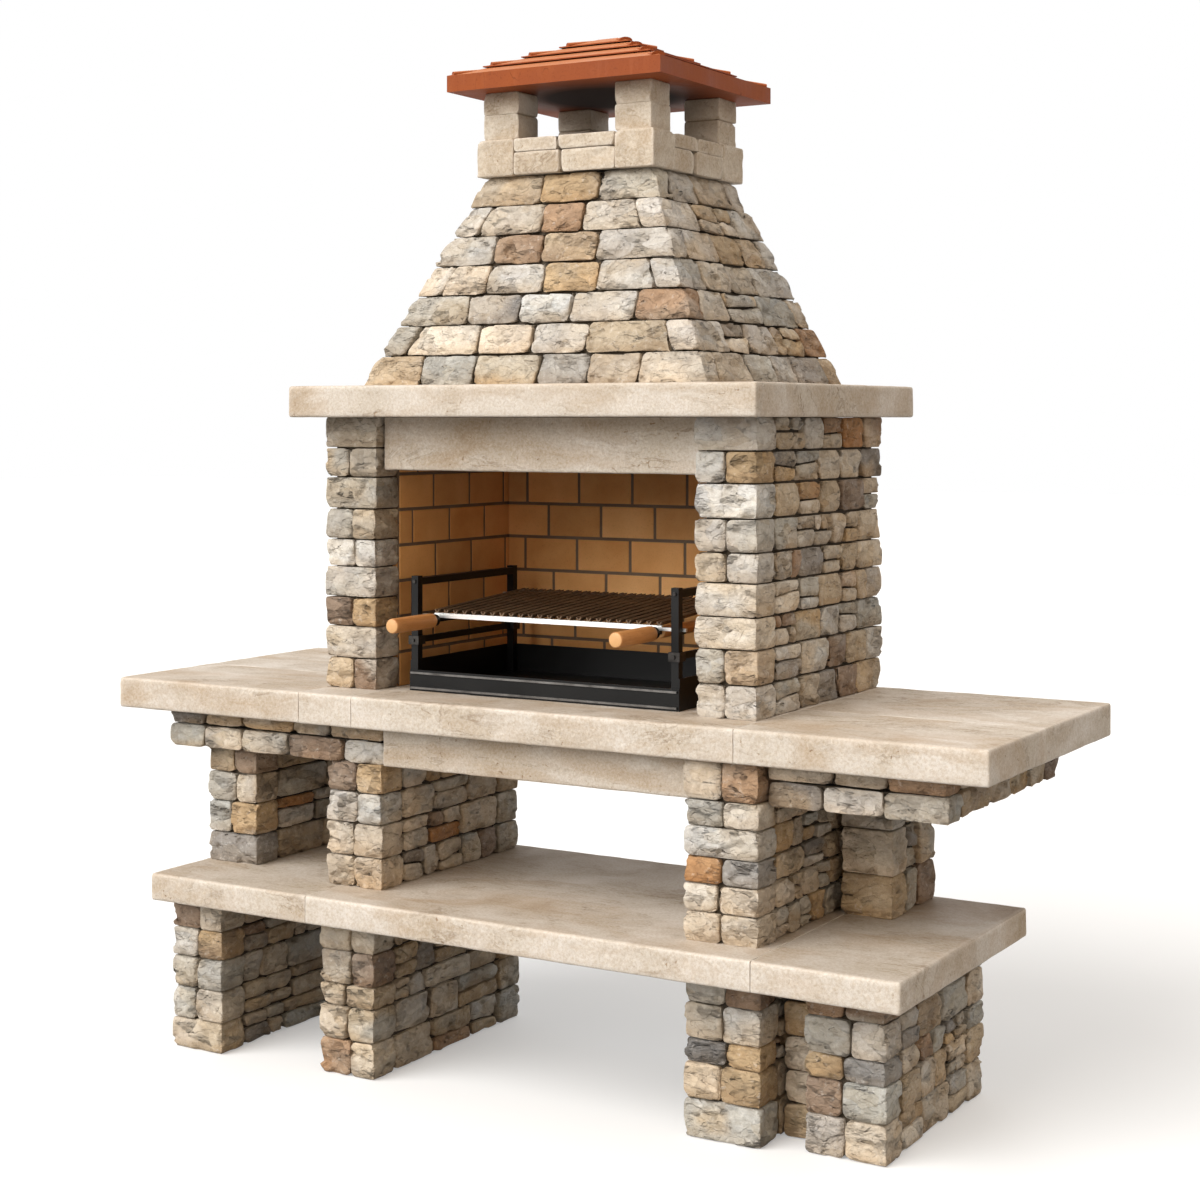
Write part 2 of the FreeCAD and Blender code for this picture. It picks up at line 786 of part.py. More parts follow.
def hexagon(x, y, z, turn, radius, length):
    """A six-sided bolt head that stands out along Y from the given point."""
    points = []
    for n in range(6):
        angle = math.radians(60 * n)
        points.append(Vec(x + radius * math.cos(angle), y, z + radius * math.sin(angle)))
    return Part.Face(Part.makePolygon(points + points[:1])).extrude(Vec(0, turn * length, 0))


def brazier():
    """Fire tray of welded sheet with a frame of square bar at each side."""
    base = worktop_top
    floor_top = base + sheet
    high = base + tray_high_wall
    low = base + tray_low_wall
    tray = [
        box(-tray_half, tray_half, tray_front, tray_back, base, floor_top),
        box(-tray_half, tray_half, tray_front, tray_front + sheet, floor_top, low),
        box(-tray_half, tray_half, tray_back - sheet, tray_back, floor_top, high),
        box(-tray_half, -tray_half + sheet, tray_front + sheet, tray_back - sheet, floor_top, high),
        box(tray_half - sheet, tray_half, tray_front + sheet, tray_back - sheet, floor_top, high),
    ]
    save("fire_tray", tray)
    beads = []
    for z in (base + bead, low - 2 * bead):
        beads.append(box(-tray_half + bead, tray_half - bead, tray_front - bead, tray_front, z, z + bead))
    save("tray_beads", beads)
    top = base + frame_height
    bar_top = top - post_above_bar
    x0 = tray_half - sheet - post_side
    x1 = tray_half - sheet
    fy = tray_front + sheet
    ry = tray_back - sheet - post_side
    bars = []
    bolts = []
    for sign, side in ((-1, "left"), (1, "right")):
        a, b = sorted((sign * x0, sign * x1))
        posts = [
            box(a, b, fy, fy + post_side, floor_top, top),
            box(a, b, ry, ry + post_side, floor_top, top),
        ]
        save(side + "_frame_posts", posts)
        bars.append(box(a, b, fy + post_side, ry, bar_top - top_bar_high, bar_top))
        for y, turn in ((fy, -1), (ry + post_side, 1)):
            z = bar_top - top_bar_high / 2
            bolts.append(hexagon((a + b) / 2, y, z, turn, bolt_radius, bolt_length))
        rail(side, a, b, fy, ry, base + rail_level)
    save("frame_top_bars", bars)
    save("frame_bolts", bolts)


def rail(side, a, b, fy, ry, z):
    """A cross rail that two screwed clamps hold on the posts of one side frame."""
    grow = clamp_wall + clamp_play
    middle = (a + b) / 2
    zc = z + clamp_high / 2
    clamps = []
    for y in (fy, ry):
        outer = box(a - grow, b + grow, y - grow, y + post_side + grow, z, z + clamp_high)
        hole = box(
            a - clamp_play,
            b + clamp_play,
            y - clamp_play,
            y + post_side + clamp_play,
            z - clamp_high,
            z + 2 * clamp_high,
        )
        clamps.append(outer.cut(hole))
    clamps.append(hexagon(middle, fy - grow, zc, -1, clamp_screw, bolt_length))
    clamps.append(hexagon(middle, ry + post_side + grow, zc, 1, clamp_screw, bolt_length))
    save(side + "_rail_clamps", clamps)
    bar = box(
        middle - rail_thick / 2,
        middle + rail_thick / 2,
        fy + post_side + grow,
        ry - grow,
        zc - rail_high / 2,
        zc + rail_high / 2,
    )
    save(side + "_rail", [bar])


def tilted(x0, x1, y0, y1, z0, z1, slope, y_from):
    return block(box_corners(x0, x1, y0, y1, z0, z1, slope, y_from))


def grill():
    """Panel of folded bars on two cross bars whose pins lie on hooks of the side frames."""
    fy = tray_front + sheet + post_side
    ry = tray_back - sheet - post_side
    front = fy + grill_play
    rear = ry - grill_play - cross_deep
    slope = grill_rise / (rear - front)
    grill_half = tray_half - sheet - post_side - grill_side_gap
    z = worktop_top + grill_level
    inner = tray_half - sheet - post_side
    outer = tray_half - sheet
    for name, y in (("grill_front_bar", front), ("grill_rear_bar", rear)):
        bar = [tilted(-grill_half, grill_half, y, y + cross_deep, z, z + cross_high, slope, front)]
        for x0, x1 in ((-outer - pin_past_post, -grill_half), (grill_half, outer + pin_past_post)):
            bar.append(tilted(x0, x1, y, y + cross_deep, z, z + pin_high, slope, front))
        save(name, bar)
    hooks = []
    for x0, x1 in ((-outer, -inner), (inner, outer)):
        lip = front + cross_deep + 2 * grill_play
        hooks.append(tilted(x0, x1, fy, lip + hook_thick, z - hook_thick, z, slope, front))
        hooks.append(tilted(x0, x1, lip, lip + hook_thick, z, z + hook_lip, slope, front))
        lip = rear - 2 * grill_play
        hooks.append(tilted(x0, x1, lip - hook_thick, ry, z - hook_thick, z, slope, front))
        hooks.append(tilted(x0, x1, lip - hook_thick, lip, z, z + hook_lip, slope, front))
    save("frame_hooks", hooks)
    outline = (
        (-bar_wide / 2, bar_high),
        (-bar_wide / 2 + bar_sheet, bar_high),
        (0.0, bar_sheet),
        (bar_wide / 2 - bar_sheet, bar_high),
        (bar_wide / 2, bar_high),
        (bar_sheet, 0.0),
        (-bar_sheet, 0.0),
    )
    bars = []
    pitch = (2 * grill_half - bar_wide) / (grill_bars - 1)
    length = rear + cross_deep - front
    for n in range(grill_bars):
        x = -grill_half + bar_wide / 2 + n * pitch
        points = [Vec(x + u, front, z + cross_high + v) for u, v in outline]
        wire = Part.makePolygon(points + points[:1])
        bars.append(Part.Face(wire).extrude(Vec(0, length, length * slope)))
    save("grill_bars", bars)
    handles(grill_half - handle_inset, front, slope, z)


def turned(x, y0, y1, z, radius, bevel, bore):
    """A round piece along Y with a square hole for the rod; a grip has both rims bevelled."""
    body = Part.makeCylinder(radius, y1 - y0, Vec(x, y0, z), Vec(0, 1, 0))
    if bevel:
        body = body.makeChamfer(bevel, [e for e in body.Edges if isinstance(e.Curve, Part.Circle)])
    return body.cut(bore)


def handles(handle_x, front, slope, z):
    """Level rods under the panel, each with a turned grip in front; the right one has a sleeve behind."""
    half = handle_rod / 2
    axis = z - half
    ferrule_back = front - grip_gap
    ferrule_front = ferrule_back - ferrule_long
    grip_front = ferrule_front - grip_long
    sleeve_front = front + cross_deep + sleeve_gap
    rods = []
    ferrules = []
    wood = []
    for x in (-handle_x, handle_x):
        rod = box(x - half, x + half, ferrule_front - tang, handle_back, axis - half, axis + half)
        under = z + cross_high + slope * (handle_back - handle_rod - front)
        hanger = box_corners(x - half, x + half, handle_back - handle_rod, handle_back, z, under)
        hanger[(0, 1, 1)] = hanger[(0, 1, 1)] + Vec(0, 0, slope * handle_rod)
        hanger[(1, 1, 1)] = hanger[(1, 1, 1)] + Vec(0, 0, slope * handle_rod)
        rods += [rod, block(hanger)]
        wood.append(turned(x, grip_front, ferrule_front, axis, grip_radius, grip_bevel, rod))
        ferrules.append(turned(x, ferrule_front, ferrule_back, axis, ferrule_radius, 0.0, rod))
    wood.append(turned(handle_x, sleeve_front, sleeve_front + sleeve_long, axis, sleeve_radius, 0.0, rod))
    save("turned_handles", wood)
    save("handle_rods", rods)
    save("handle_ferrules", ferrules)


os.makedirs("parts", exist_ok=True)
legs()
piers()
corbels()
slabs()
hearth()
mantel()
hood()
chimney()
brazier()
grill()
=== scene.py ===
import itertools
import json
import math

import bpy
import numpy as np
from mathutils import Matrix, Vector


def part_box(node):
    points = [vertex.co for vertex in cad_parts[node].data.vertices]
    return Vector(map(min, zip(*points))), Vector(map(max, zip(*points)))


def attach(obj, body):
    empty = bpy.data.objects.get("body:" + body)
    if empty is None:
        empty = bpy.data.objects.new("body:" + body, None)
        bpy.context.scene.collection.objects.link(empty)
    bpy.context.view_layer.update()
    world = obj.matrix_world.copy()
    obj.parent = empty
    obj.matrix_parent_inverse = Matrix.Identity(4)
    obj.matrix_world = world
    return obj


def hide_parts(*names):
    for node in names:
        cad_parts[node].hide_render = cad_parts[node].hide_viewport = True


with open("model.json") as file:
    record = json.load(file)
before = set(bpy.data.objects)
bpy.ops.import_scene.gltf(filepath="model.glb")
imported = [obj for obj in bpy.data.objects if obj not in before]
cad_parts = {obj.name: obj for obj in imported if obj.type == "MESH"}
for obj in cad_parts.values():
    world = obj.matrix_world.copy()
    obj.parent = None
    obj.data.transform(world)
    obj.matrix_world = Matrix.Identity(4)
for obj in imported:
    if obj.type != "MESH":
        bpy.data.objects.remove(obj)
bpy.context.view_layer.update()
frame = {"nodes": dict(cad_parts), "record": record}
nodes = frame["nodes"]
body_of = {n: b for b, members in frame["record"]["behaviour"]["bodies"].items() for n in members}
slot_of = {part["node"]: part["material_slot"] for part in frame["record"]["subparts"]}

# Faces of a block as (axis, end)
LEFT, RIGHT, FRONT, BACK, UNDER, TOP = ((axis, end) for axis in range(3) for end in (0, 1))
SIDES = (LEFT, RIGHT)
ROUND = (FRONT, BACK, LEFT, RIGHT)
ALL = ROUND + (UNDER, TOP)
CORNERS = tuple(itertools.product((0, 1), repeat=3))

# Split stones, in metres
stone_edge = 0.0045  # rounding beside a face in view
stone_corner = 0.012  # rounding between two hidden faces
stone_cell = 0.0075  # width of the grid's cells
stone_relief = 0.008  # height of the deepest chips
stone_chips = 4  # planes that shave each stone's edges
rim_width = 0.009  # width of a face's fall towards its rim
shaving = 0.006  # most that a plane takes off an edge
chip_width = 0.08  # flat chips on a face
chip_bed = (1.0, 1.0, 1.8)  # how much narrower they are upright
bend_width = 0.035  # waves that bend the chips' outlines
bend_reach = 0.010
joint_closing = 0.0004  # growth of each stone into its joints
split_gap = 0.003  # joint between stones that share one block's place
outer_within = 0.0075  # a face this close to the wall's face is in view

# Mortar and the hood's shell
mortar_edge = 0.002
mortar_cell = 0.05
mortar_relief = 0.003
mortar_depth = 0.022  # how far it lies behind the stones' faces
corbel_step = 0.03  # the upper course starts at least this far above the foot
hood_leaf = 0.073  # the shell's inner face, behind the stones' faces
level_within = 0.002  # corners this close in height are at one level

# Slabs, pale blocks and bricks
slab_edge = 0.007
slab_cell = 0.020
slab_relief = 0.0008
seam_edge = 0.0012  # easing where two slabs meet
beam_gap = 0.003  # joint at each end of a beam
smoke_hole = ((-0.33, 0.33), (-0.15, 0.265))  # span in x and y
block_edge = 0.004
block_corner = 0.007
block_cell = 0.012
block_relief = 0.003
block_chips = 2
brick_edge = 0.0025
brick_cell = 0.03
brick_relief = 0.0008
brick_joint_depth = 0.002

# Painted shade on the shelf where the worktop shades it, from the front to the back and only below the
# worktop
shelf_shade_depths = (-0.25, 0.25)
shelf_shade_heights = (0.7, 0.6)

# Roof tiles, and the soot and painted shade below them
tile_gap = 0.008
tile_overhang = 0.005
cap_radius = 0.017
cap_taper = 0.75  # the upper end's radius as a share of the lower end's
cap_start = 0.16  # where a cap starts, as a share of its hip
cap_segments = 10
flue_axis = (0.0, 0.085, 0.0)
soot_and_shade_radii = (0.32, 0.16)

# Grips: rings at each end as (distance from it, share of the radius)
grip_front = ((0.0, 0.80), (0.0008, 0.90), (0.003, 0.97))
grip_back = ((0.003, 0.95), (0.0, 0.86))
grip_swell = 0.025
grip_segments = 40

# Studio: floor and backdrop are white to the eye, and dimmer as a source of light
floor_size = 80
floor_lit, floor_seen, floor_glow = 0.24, 0.70, 0.30
world_lit, world_seen = 0.20, 1.0

# Grid lines over a block's rounded end, in edge widths, and their limits as shares of the side
END_TICKS = np.array([0.0, 0.4, 1.0, 2.4])
END_LIMITS = np.array([0.0, 0.1, 0.2, 0.3])

# Columns of the values that a pile keeps for each vertex
TONE, ACCENT, SEED = slice(0, 3), slice(3, 6), slice(6, 9)
PATCH, RIM, LEVEL = 9, 13, 14
OUTWARD = slice(10, 13)

# Tones of what isn't split stone; plain is for materials that bring their own colour
PLAIN = (1, 1, 1)
BRICK = (0.92, 0.70, 0.45)
BRICK_JOINT = (0.46, 0.40, 0.34)

# Stone tones as display values
TONES = {
    "white": (0.87, 0.86, 0.84),
    "pale": (0.84, 0.82, 0.79),
    "grey": (0.76, 0.75, 0.72),
    "slate": (0.62, 0.60, 0.58),
    "cream": (0.88, 0.84, 0.78),
    "beige": (0.82, 0.77, 0.70),
    "tan": (0.80, 0.73, 0.63),
    "ochre": (0.80, 0.70, 0.56),
    "rust": (0.71, 0.59, 0.48),
    "amber": (0.74, 0.56, 0.38),
    "brown": (0.61, 0.53, 0.46),
}
MIX = {
    "beige": 19, "tan": 17, "cream": 11, "pale": 14, "grey": 15,
    "slate": 6, "ochre": 8, "brown": 6, "rust": 3, "amber": 1,
}

# Tones of the stones that face the front, course by course from the top, left to right
FRONTS = {
    "right_hearth_wall_stones":
        "pale / pale ochre / white / pale pale / tan pale / pale / cream / grey tan / pale pale",
    "left_hearth_wall_stones":
        "beige / grey beige / grey / grey tan / pale pale / pale / brown ochre / pale / tan brown",
    "inner_right_pier_stones":
        "beige rust / grey cream / white / amber slate / cream cream / beige beige",
    "outer_left_pier_stones": "tan brown / grey beige / grey ochre / slate",
    "inner_left_pier_stones": "brown ochre / white white / beige beige / beige beige",
    "outer_left_leg_stones": "brown cream / pale ochre / grey grey / grey beige / tan",
    "inner_left_leg_stones": "tan beige / slate brown / tan tan / beige grey / rust tan",
    "inner_right_leg_stones": "grey brown / beige cream / slate ochre / tan ochre / grey",
    "outer_right_leg_stones": "rust brown / grey pale / ochre slate / brown grey / pale beige",
    "right_corbel_stones": "cream beige tan rust beige / slate pale grey beige",
    "left_corbel_stones": "slate beige ochre grey tan / grey cream cream brown pale",
    "hood_stones":
        "pale tan ochre grey pale / pale cream rust cream white / brown pale rust tan pale pale /"
        " cream pale ochre pale pale / grey slate white rust cream / grey cream cream pale tan pale /"
        " tan grey ochre slate beige cream beige",
}


def linear(colour):
    """Display values as linear light."""
    return tuple(c / 12.92 if c < 0.04045 else ((c + 0.055) / 1.055) ** 2.4 for c in colour)


LATTICE = np.random.default_rng(5).random((32, 32, 32))
FEATURES = np.random.default_rng(6).random((32, 32, 32, 3))
TILTS = np.random.default_rng(9).random((32, 32, 32, 3)) - 0.5


def waves(points, wavelength):
    """Smooth seeded noise from -1 to 1."""
    q = points / wavelength
    base = np.floor(q).astype(int)
    f = q - base
    f = f * f * (3 - 2 * f)
    total = np.zeros(len(points))
    for corner in CORNERS:
        i, j, k = ((base + corner) & 31).T
        total += np.prod(np.where(corner, f, 1 - f), axis=1) * LATTICE[i, j, k]
    return 2 * total - 1


def facets(points, size):
    """Flat chips about as wide as size, each with its own tilt: their height as a share of it."""
    q = points / size
    base = np.floor(q).astype(int)
    nearest = np.full(len(points), 9.0)
    height = np.zeros(len(points))
    for step in itertools.product((-1, 0, 1), repeat=3):
        cell = base + step
        i, j, k = (cell & 31).T
        away = q - cell - FEATURES[i, j, k]
        distance = (away ** 2).sum(1)
        closer = distance < nearest
        nearest[closer] = distance[closer]
        height[closer] = (TILTS[i, j, k] * away).sum(1)[closer]
    return height


def solids_of(node):
    """The closed solids of a CAD node, each as an array of triangles."""
    mesh = nodes[node].data
    mesh.calc_loop_triangles()
    places = np.array([v.co for v in mesh.vertices], float)
    keys = [tuple(p) for p in np.round(places, 5).tolist()]
    found = []
    part = []
    loose = set()
    for triangle in mesh.loop_triangles:
        ids = list(triangle.vertices)
        part.append(places[ids])
        for a, b in zip(ids, ids[1:] + ids[:1]):
            if (keys[b], keys[a]) in loose:
                loose.remove((keys[b], keys[a]))
            else:
                loose.add((keys[a], keys[b]))
        if not loose:
            found.append(np.array(part))
            part = []
    return found


def squared(triangles):
    """The corners (2, 2, 2, 3) where a solid's six main faces meet, and the faces that slope upwards."""
    a, b, c = triangles.transpose(1, 0, 2)
    normals = np.cross(b - a, c - a)
    normals /= np.maximum(np.linalg.norm(normals, axis=1), 1e-12)[:, None]
    points = triangles.reshape(-1, 3)
    planes = {}
    sloping = []
    for axis, end in ALL:
        sign = 2 * end - 1
        normal = normals[np.argmax(normals[:, axis] * sign)]
        if normal[axis] * sign > 0.99:
            normal = np.eye(3)[axis] * sign
        elif normal[2] > 0.1 and axis < 2:
            sloping.append((axis, end))
        planes[axis, end] = (normal, (points @ normal).max())
    corner = np.empty((2, 2, 2, 3))
    for i, j, k in CORNERS:
        three = (planes[0, i], planes[1, j], planes[2, k])
        corner[i, j, k] = np.linalg.solve([p[0] for p in three], [p[1] for p in three])
    return corner, sloping


def box_corners(low, high):
    """The corners of an upright box, indexed like those of squared."""
    ends = (low, high)
    corner = np.empty((2, 2, 2, 3))
    for i, j, k in CORNERS:
        corner[i, j, k] = (ends[i][0], ends[j][1], ends[k][2])
    return corner


def side(axis, end):
    """The index of one face's four corners."""
    return tuple(end if a == axis else slice(None) for a in range(3))


def edge_length(corner, axis):
    """The mean length of a block's four edges along one axis."""
    return np.linalg.norm(corner[side(axis, 1)] - corner[side(axis, 0)], axis=-1).mean()


def face_normal(corner, face):
    """The way a face looks."""
    axis, end = face
    quad = corner[side(axis, end)]
    normal = np.cross(quad[1, 1] - quad[0, 0], quad[0, 1] - quad[1, 0])
    middle = quad.mean((0, 1)) - corner.mean((0, 1, 2))
    return normal / np.linalg.norm(normal) * np.sign(normal @ middle)


def grown(corner, faces, amount):
    """The corners with the given faces pushed out, but not below the floor."""
    moved = corner.copy()
    for axis, end in faces:
        way = corner[side(axis, end)] - corner[side(axis, 1 - end)]
        moved[side(axis, end)] += amount * way / np.linalg.norm(way, axis=-1, keepdims=True)
    moved[..., 2] = np.maximum(moved[..., 2], 0.0)
    return moved


def halves(corner, axis, share, slant, across):
    """A block split across one axis by a joint that slants along another."""
    rest = [a for a in range(3) if a != axis]
    tilt = np.array([-slant, slant]).reshape((2, 1) if across == rest[0] else (1, 2))
    tilt = tilt * np.ones((2, 2))
    half_gap = split_gap / edge_length(corner, axis) / 2
    low, high = corner[side(axis, 0)], corner[side(axis, 1)]
    first, second = corner.copy(), corner.copy()
    first[side(axis, 1)] = low + (high - low) * (share + tilt - half_gap)[..., None]
    second[side(axis, 0)] = low + (high - low) * (share + tilt + half_gap)[..., None]
    return [first, second]


def rubble(rng, corner, run):
    """The smaller stones that may lie in the place of one block; run is the axis along the wall."""
    long, high = edge_length(corner, run), edge_length(corner, 2)
    parts = [corner]
    if long > 1.9 * high and rng.random() < 0.5:
        parts = halves(corner, run, rng.uniform(0.32, 0.68), rng.uniform(-0.05, 0.05), 2)
    smaller = []
    for part in parts:
        if high > 0.05 and rng.random() < 0.42:
            smaller += halves(part, 2, rng.uniform(0.36, 0.64), rng.uniform(-0.08, 0.08), run)
        else:
            smaller.append(part)
    return smaller


def ticks(length, edges, cell):
    """Grid lines along one side of a block, closer together over its rounded ends."""
    start, stop = (np.minimum(END_TICKS * edge, END_LIMITS * length) for edge in edges)
    count = max(1, round((length - start[-1] - stop[-1]) / cell))
    middle = np.linspace(start[-1], length - stop[-1], count + 1)
    return np.concatenate([start[:-1], middle, (length - stop[:-1])[::-1]])


def quads_of(sheet):
    """The four vertex numbers of each cell of a sheet."""
    return np.stack([sheet[:-1, :-1], sheet[1:, :-1], sheet[1:, 1:], sheet[:-1, 1:]], -1)


class Pile:
    """Blocks with rounded and chipped edges, gathered into one mesh."""

    def __init__(self, edge, corner, cell, chips=0):
        self.edge = edge
        self.corner = corner
        self.cell = cell
        self.chips = chips
        self.points = []
        self.faces = []
        self.values = []
        self.count = 0

    def block(self, rng, corner, outer, tone, accent=None, tight=(), hole=None):
        """Adds one block: outer are its faces in view, tight those at a seam, hole a span in x and y."""
        size = np.array([edge_length(corner, a) for a in range(3)])
        edges = np.full((3, 2), self.edge)
        for face in tight:
            edges[face] = seam_edge
        lines = [ticks(size[a], edges[a], self.cell) for a in range(3)]
        if len(outer) == 1:
            axis, end = outer[0]
            near = END_TICKS * min(self.edge, 0.2 * size[axis])
            near = np.append(near, size[axis])
            lines[axis] = near if end == 0 else (size[axis] - near)[::-1]
        spans = []
        if hole:
            for axis in (0, 1):
                rims = np.array(hole[axis]) - corner[0, 0, 0, axis]
                clear = [t for t in lines[axis] if np.abs(t - rims).min() > self.cell / 2]
                lines[axis] = np.sort(np.append(clear, rims))
                spans.append(np.searchsorted(lines[axis], rims - 1e-6))
        index = self.grid(lines, spans)
        ids = np.argwhere(index >= 0)
        q = np.stack([lines[a][ids[:, a]] for a in range(3)], 1)
        away = {(a, e): size[a] - q[:, a] if e else q[:, a] for a, e in ALL}
        outward = np.zeros((len(q), 3))
        for face in outer:
            closeness = np.maximum(1 - away[face] / (2 * self.edge), 0)
            outward += np.outer(closeness, face_normal(corner, face))
        outward /= np.maximum(np.linalg.norm(outward, axis=1), 1.0)[:, None]
        rim = np.min([away[f] for f in ALL if f not in outer] or [np.full(len(q), 1.0)], axis=0)
        # level falls towards the stone's foot and its rims; split_stone paints shade with it
        level = q[:, 2] / size[2] - 0.5 * np.exp(-rim / rim_width)
        q = self.rounded(rng, q, size, outer, edges)
        if self.chips:
            q = self.chipped(rng, q, size, outer)
        share = q / size
        place = np.zeros((len(q), 3))
        for which in CORNERS:
            place += np.prod(np.where(which, share, 1 - share), axis=1)[:, None] * corner[which]
        seed, patch = rng.uniform(0, 30, 3), rng.uniform(-0.5, 0.6)
        fixed = (*linear(tone), *linear(accent or tone), *seed, patch)
        self.points.append(place)
        self.values.append(np.column_stack([np.tile(fixed, (len(q), 1)), outward, rim, level]))
        self.skin(index, outer, spans)
        self.count += len(q)

    def grid(self, lines, spans):
        """Vertex numbers on the block's skin and on the walls of its hole, -1 elsewhere."""
        skin = np.zeros([len(t) for t in lines], bool)
        for face in ALL:
            skin[side(face[0], -face[1])] = True
        if spans:
            (i0, i1), (j0, j1) = spans
            skin[i0:i1 + 1, j0:j1 + 1] = True
            skin[i0 + 1:i1, j0 + 1:j1] = False
        index = np.full(skin.shape, -1)
        index[skin] = np.arange(skin.sum())
        return index

    def rounded(self, rng, q, size, outer, edges):
        """Points drawn in where faces meet: little at a face in view, more between two hidden ones."""
        q = q.copy()
        for (a, i), (b, j) in itertools.combinations(ALL, 2):
            if a == b:
                continue
            seen = ((a, i) in outer) + ((b, j) in outer)
            radius = self.edge if seen else self.corner
            if self.chips:
                radius *= rng.uniform(0.7, 1.4)
            widths = (edges[a, i], edges[b, j]) if seen else (radius, radius)
            reach = np.minimum(np.minimum(radius, widths), 0.45 * size[[a, b]])
            ends = np.array([i * size[a], j * size[b]])
            signs = np.array([2 * i - 1, 2 * j - 1])
            inside = (ends - q[:, (a, b)]) * signs
            depth = np.clip(1 - inside / reach, 0, 1)
            both = (depth > 0).all(1)
            depth[both] *= (depth[both].max(1) / np.linalg.norm(depth[both], axis=1))[:, None]
            q[np.ix_(both, (a, b))] = ends - signs * (1 - depth[both]) * reach
        return q

    def chipped(self, rng, q, size, outer):
        """Points shaved by a few random planes across the edges of the faces in view."""
        for _ in range(self.chips):
            axis, end = outer[rng.integers(len(outer))]
            way = rng.uniform(0.4, 1.0, 3) * rng.choice([-1, 1], 3)
            way[axis] = 0
            lean = math.radians(rng.uniform(25, 70))
            way *= math.sin(lean) / np.linalg.norm(way)
            way[axis] = math.cos(lean) * (2 * end - 1)
            level = np.abs(way) @ size / 2 - self.edge - shaving * rng.uniform(0, 1)
            over = np.maximum((q - size / 2) @ way - level, 0)
            q = q - over[:, None] * way
        return q

    def skin(self, index, outer, spans):
        """Faces of the grid; a side out of view is one polygon inside a band of quads."""
        for axis, end in ALL:
            sheet = index[side(axis, -end)]
            turned = (end == 0) == (axis != 1)
            quads = quads_of(sheet)
            keep = np.ones(quads.shape[:2], bool)
            if spans and axis == 2:
                (i0, i1), (j0, j1) = spans
                keep[i0:i1, j0:j1] = False
            elif (axis, end) not in outer and min(sheet.shape) > 2:
                band = 2 if min(sheet.shape) > 6 else 0
                inner = sheet[band:len(sheet) - band, band:sheet.shape[1] - band]
                keep[band:len(sheet) - 1 - band, band:sheet.shape[1] - 1 - band] = False
                rim = np.concatenate([inner[:-1, 0], inner[-1, :-1], inner[:0:-1, -1], inner[0, :0:-1]])
                self.faces.append((rim[::-1] if turned else rim) + self.count)
            self.faces.extend((quads[keep][:, ::-1] if turned else quads[keep]) + self.count)
        for axis in range(2 if spans else 0):
            start, stop = spans[1 - axis]
            for end, at in enumerate(spans[axis]):
                sheet = index[side(axis, at)][start:stop + 1]
                quads = quads_of(sheet).reshape(-1, 4)
                self.faces.extend((quads if (end == 0) == (axis != 1) else quads[:, ::-1]) + self.count)

    def mesh(self, name, relief):
        """The mesh, its faces in view roughened: relief is the height in metres of the deepest chips."""
        points = np.concatenate(self.points)
        values = np.concatenate(self.values)
        mesh = bpy.data.meshes.new(name)
        mesh.from_pydata(points, [], [f.tolist() for f in self.faces])
        normals = np.empty(3 * len(points))
        mesh.vertices.foreach_get("normal", normals)
        at = points + values[:, SEED]
        push = np.column_stack([waves(at + shift, bend_width) for shift in (3, 11, 19)])
        bent = at + bend_reach * push
        wave = 0.3 * waves(at, 0.12) + 2.8 * facets(bent * chip_bed, chip_width) + 0.1 * waves(at, 0.02)
        outward = values[:, OUTWARD]
        hidden = 1 - np.linalg.norm(outward, axis=1)
        fall = 0.3 * np.exp(-values[:, RIM] / rim_width)
        points += relief * outward * (np.clip(wave - 0.35, -1.4, 0.0) - fall)[:, None]
        points -= 0.05 * relief * normals.reshape(-1, 3) * (hidden * (1 + waves(at, 0.03)))[:, None]
        mesh.vertices.foreach_set("co", points.ravel())
        patch = np.clip(2.2 * waves(bent * (1, 1, 1.5), 0.10) + values[:, PATCH], 0, 1)[:, None]
        colour = values[:, TONE] + (values[:, ACCENT] - values[:, TONE]) * patch
        opaque = np.ones(len(points))
        for key, kind, field, data in (
            ("tone", "FLOAT_COLOR", "color", np.column_stack([colour, opaque])),
            ("seed", "FLOAT_VECTOR", "vector", values[:, SEED]),
            ("level", "FLOAT", "value", values[:, LEVEL]),
        ):
            attribute = mesh.attributes.new(key, kind, "POINT")
            attribute.data.foreach_set(field, data.astype(np.float32).ravel())
        mesh.shade_smooth()
        mesh.update()
        return mesh


def dress(mesh, node, material):
    """The mesh as the piece that stands for a CAD node."""
    mesh.materials.append(material)
    piece = bpy.data.objects.new(mesh.name, mesh)
    bpy.context.scene.collection.objects.link(piece)
    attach(piece, body_of[node])
    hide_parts(node)


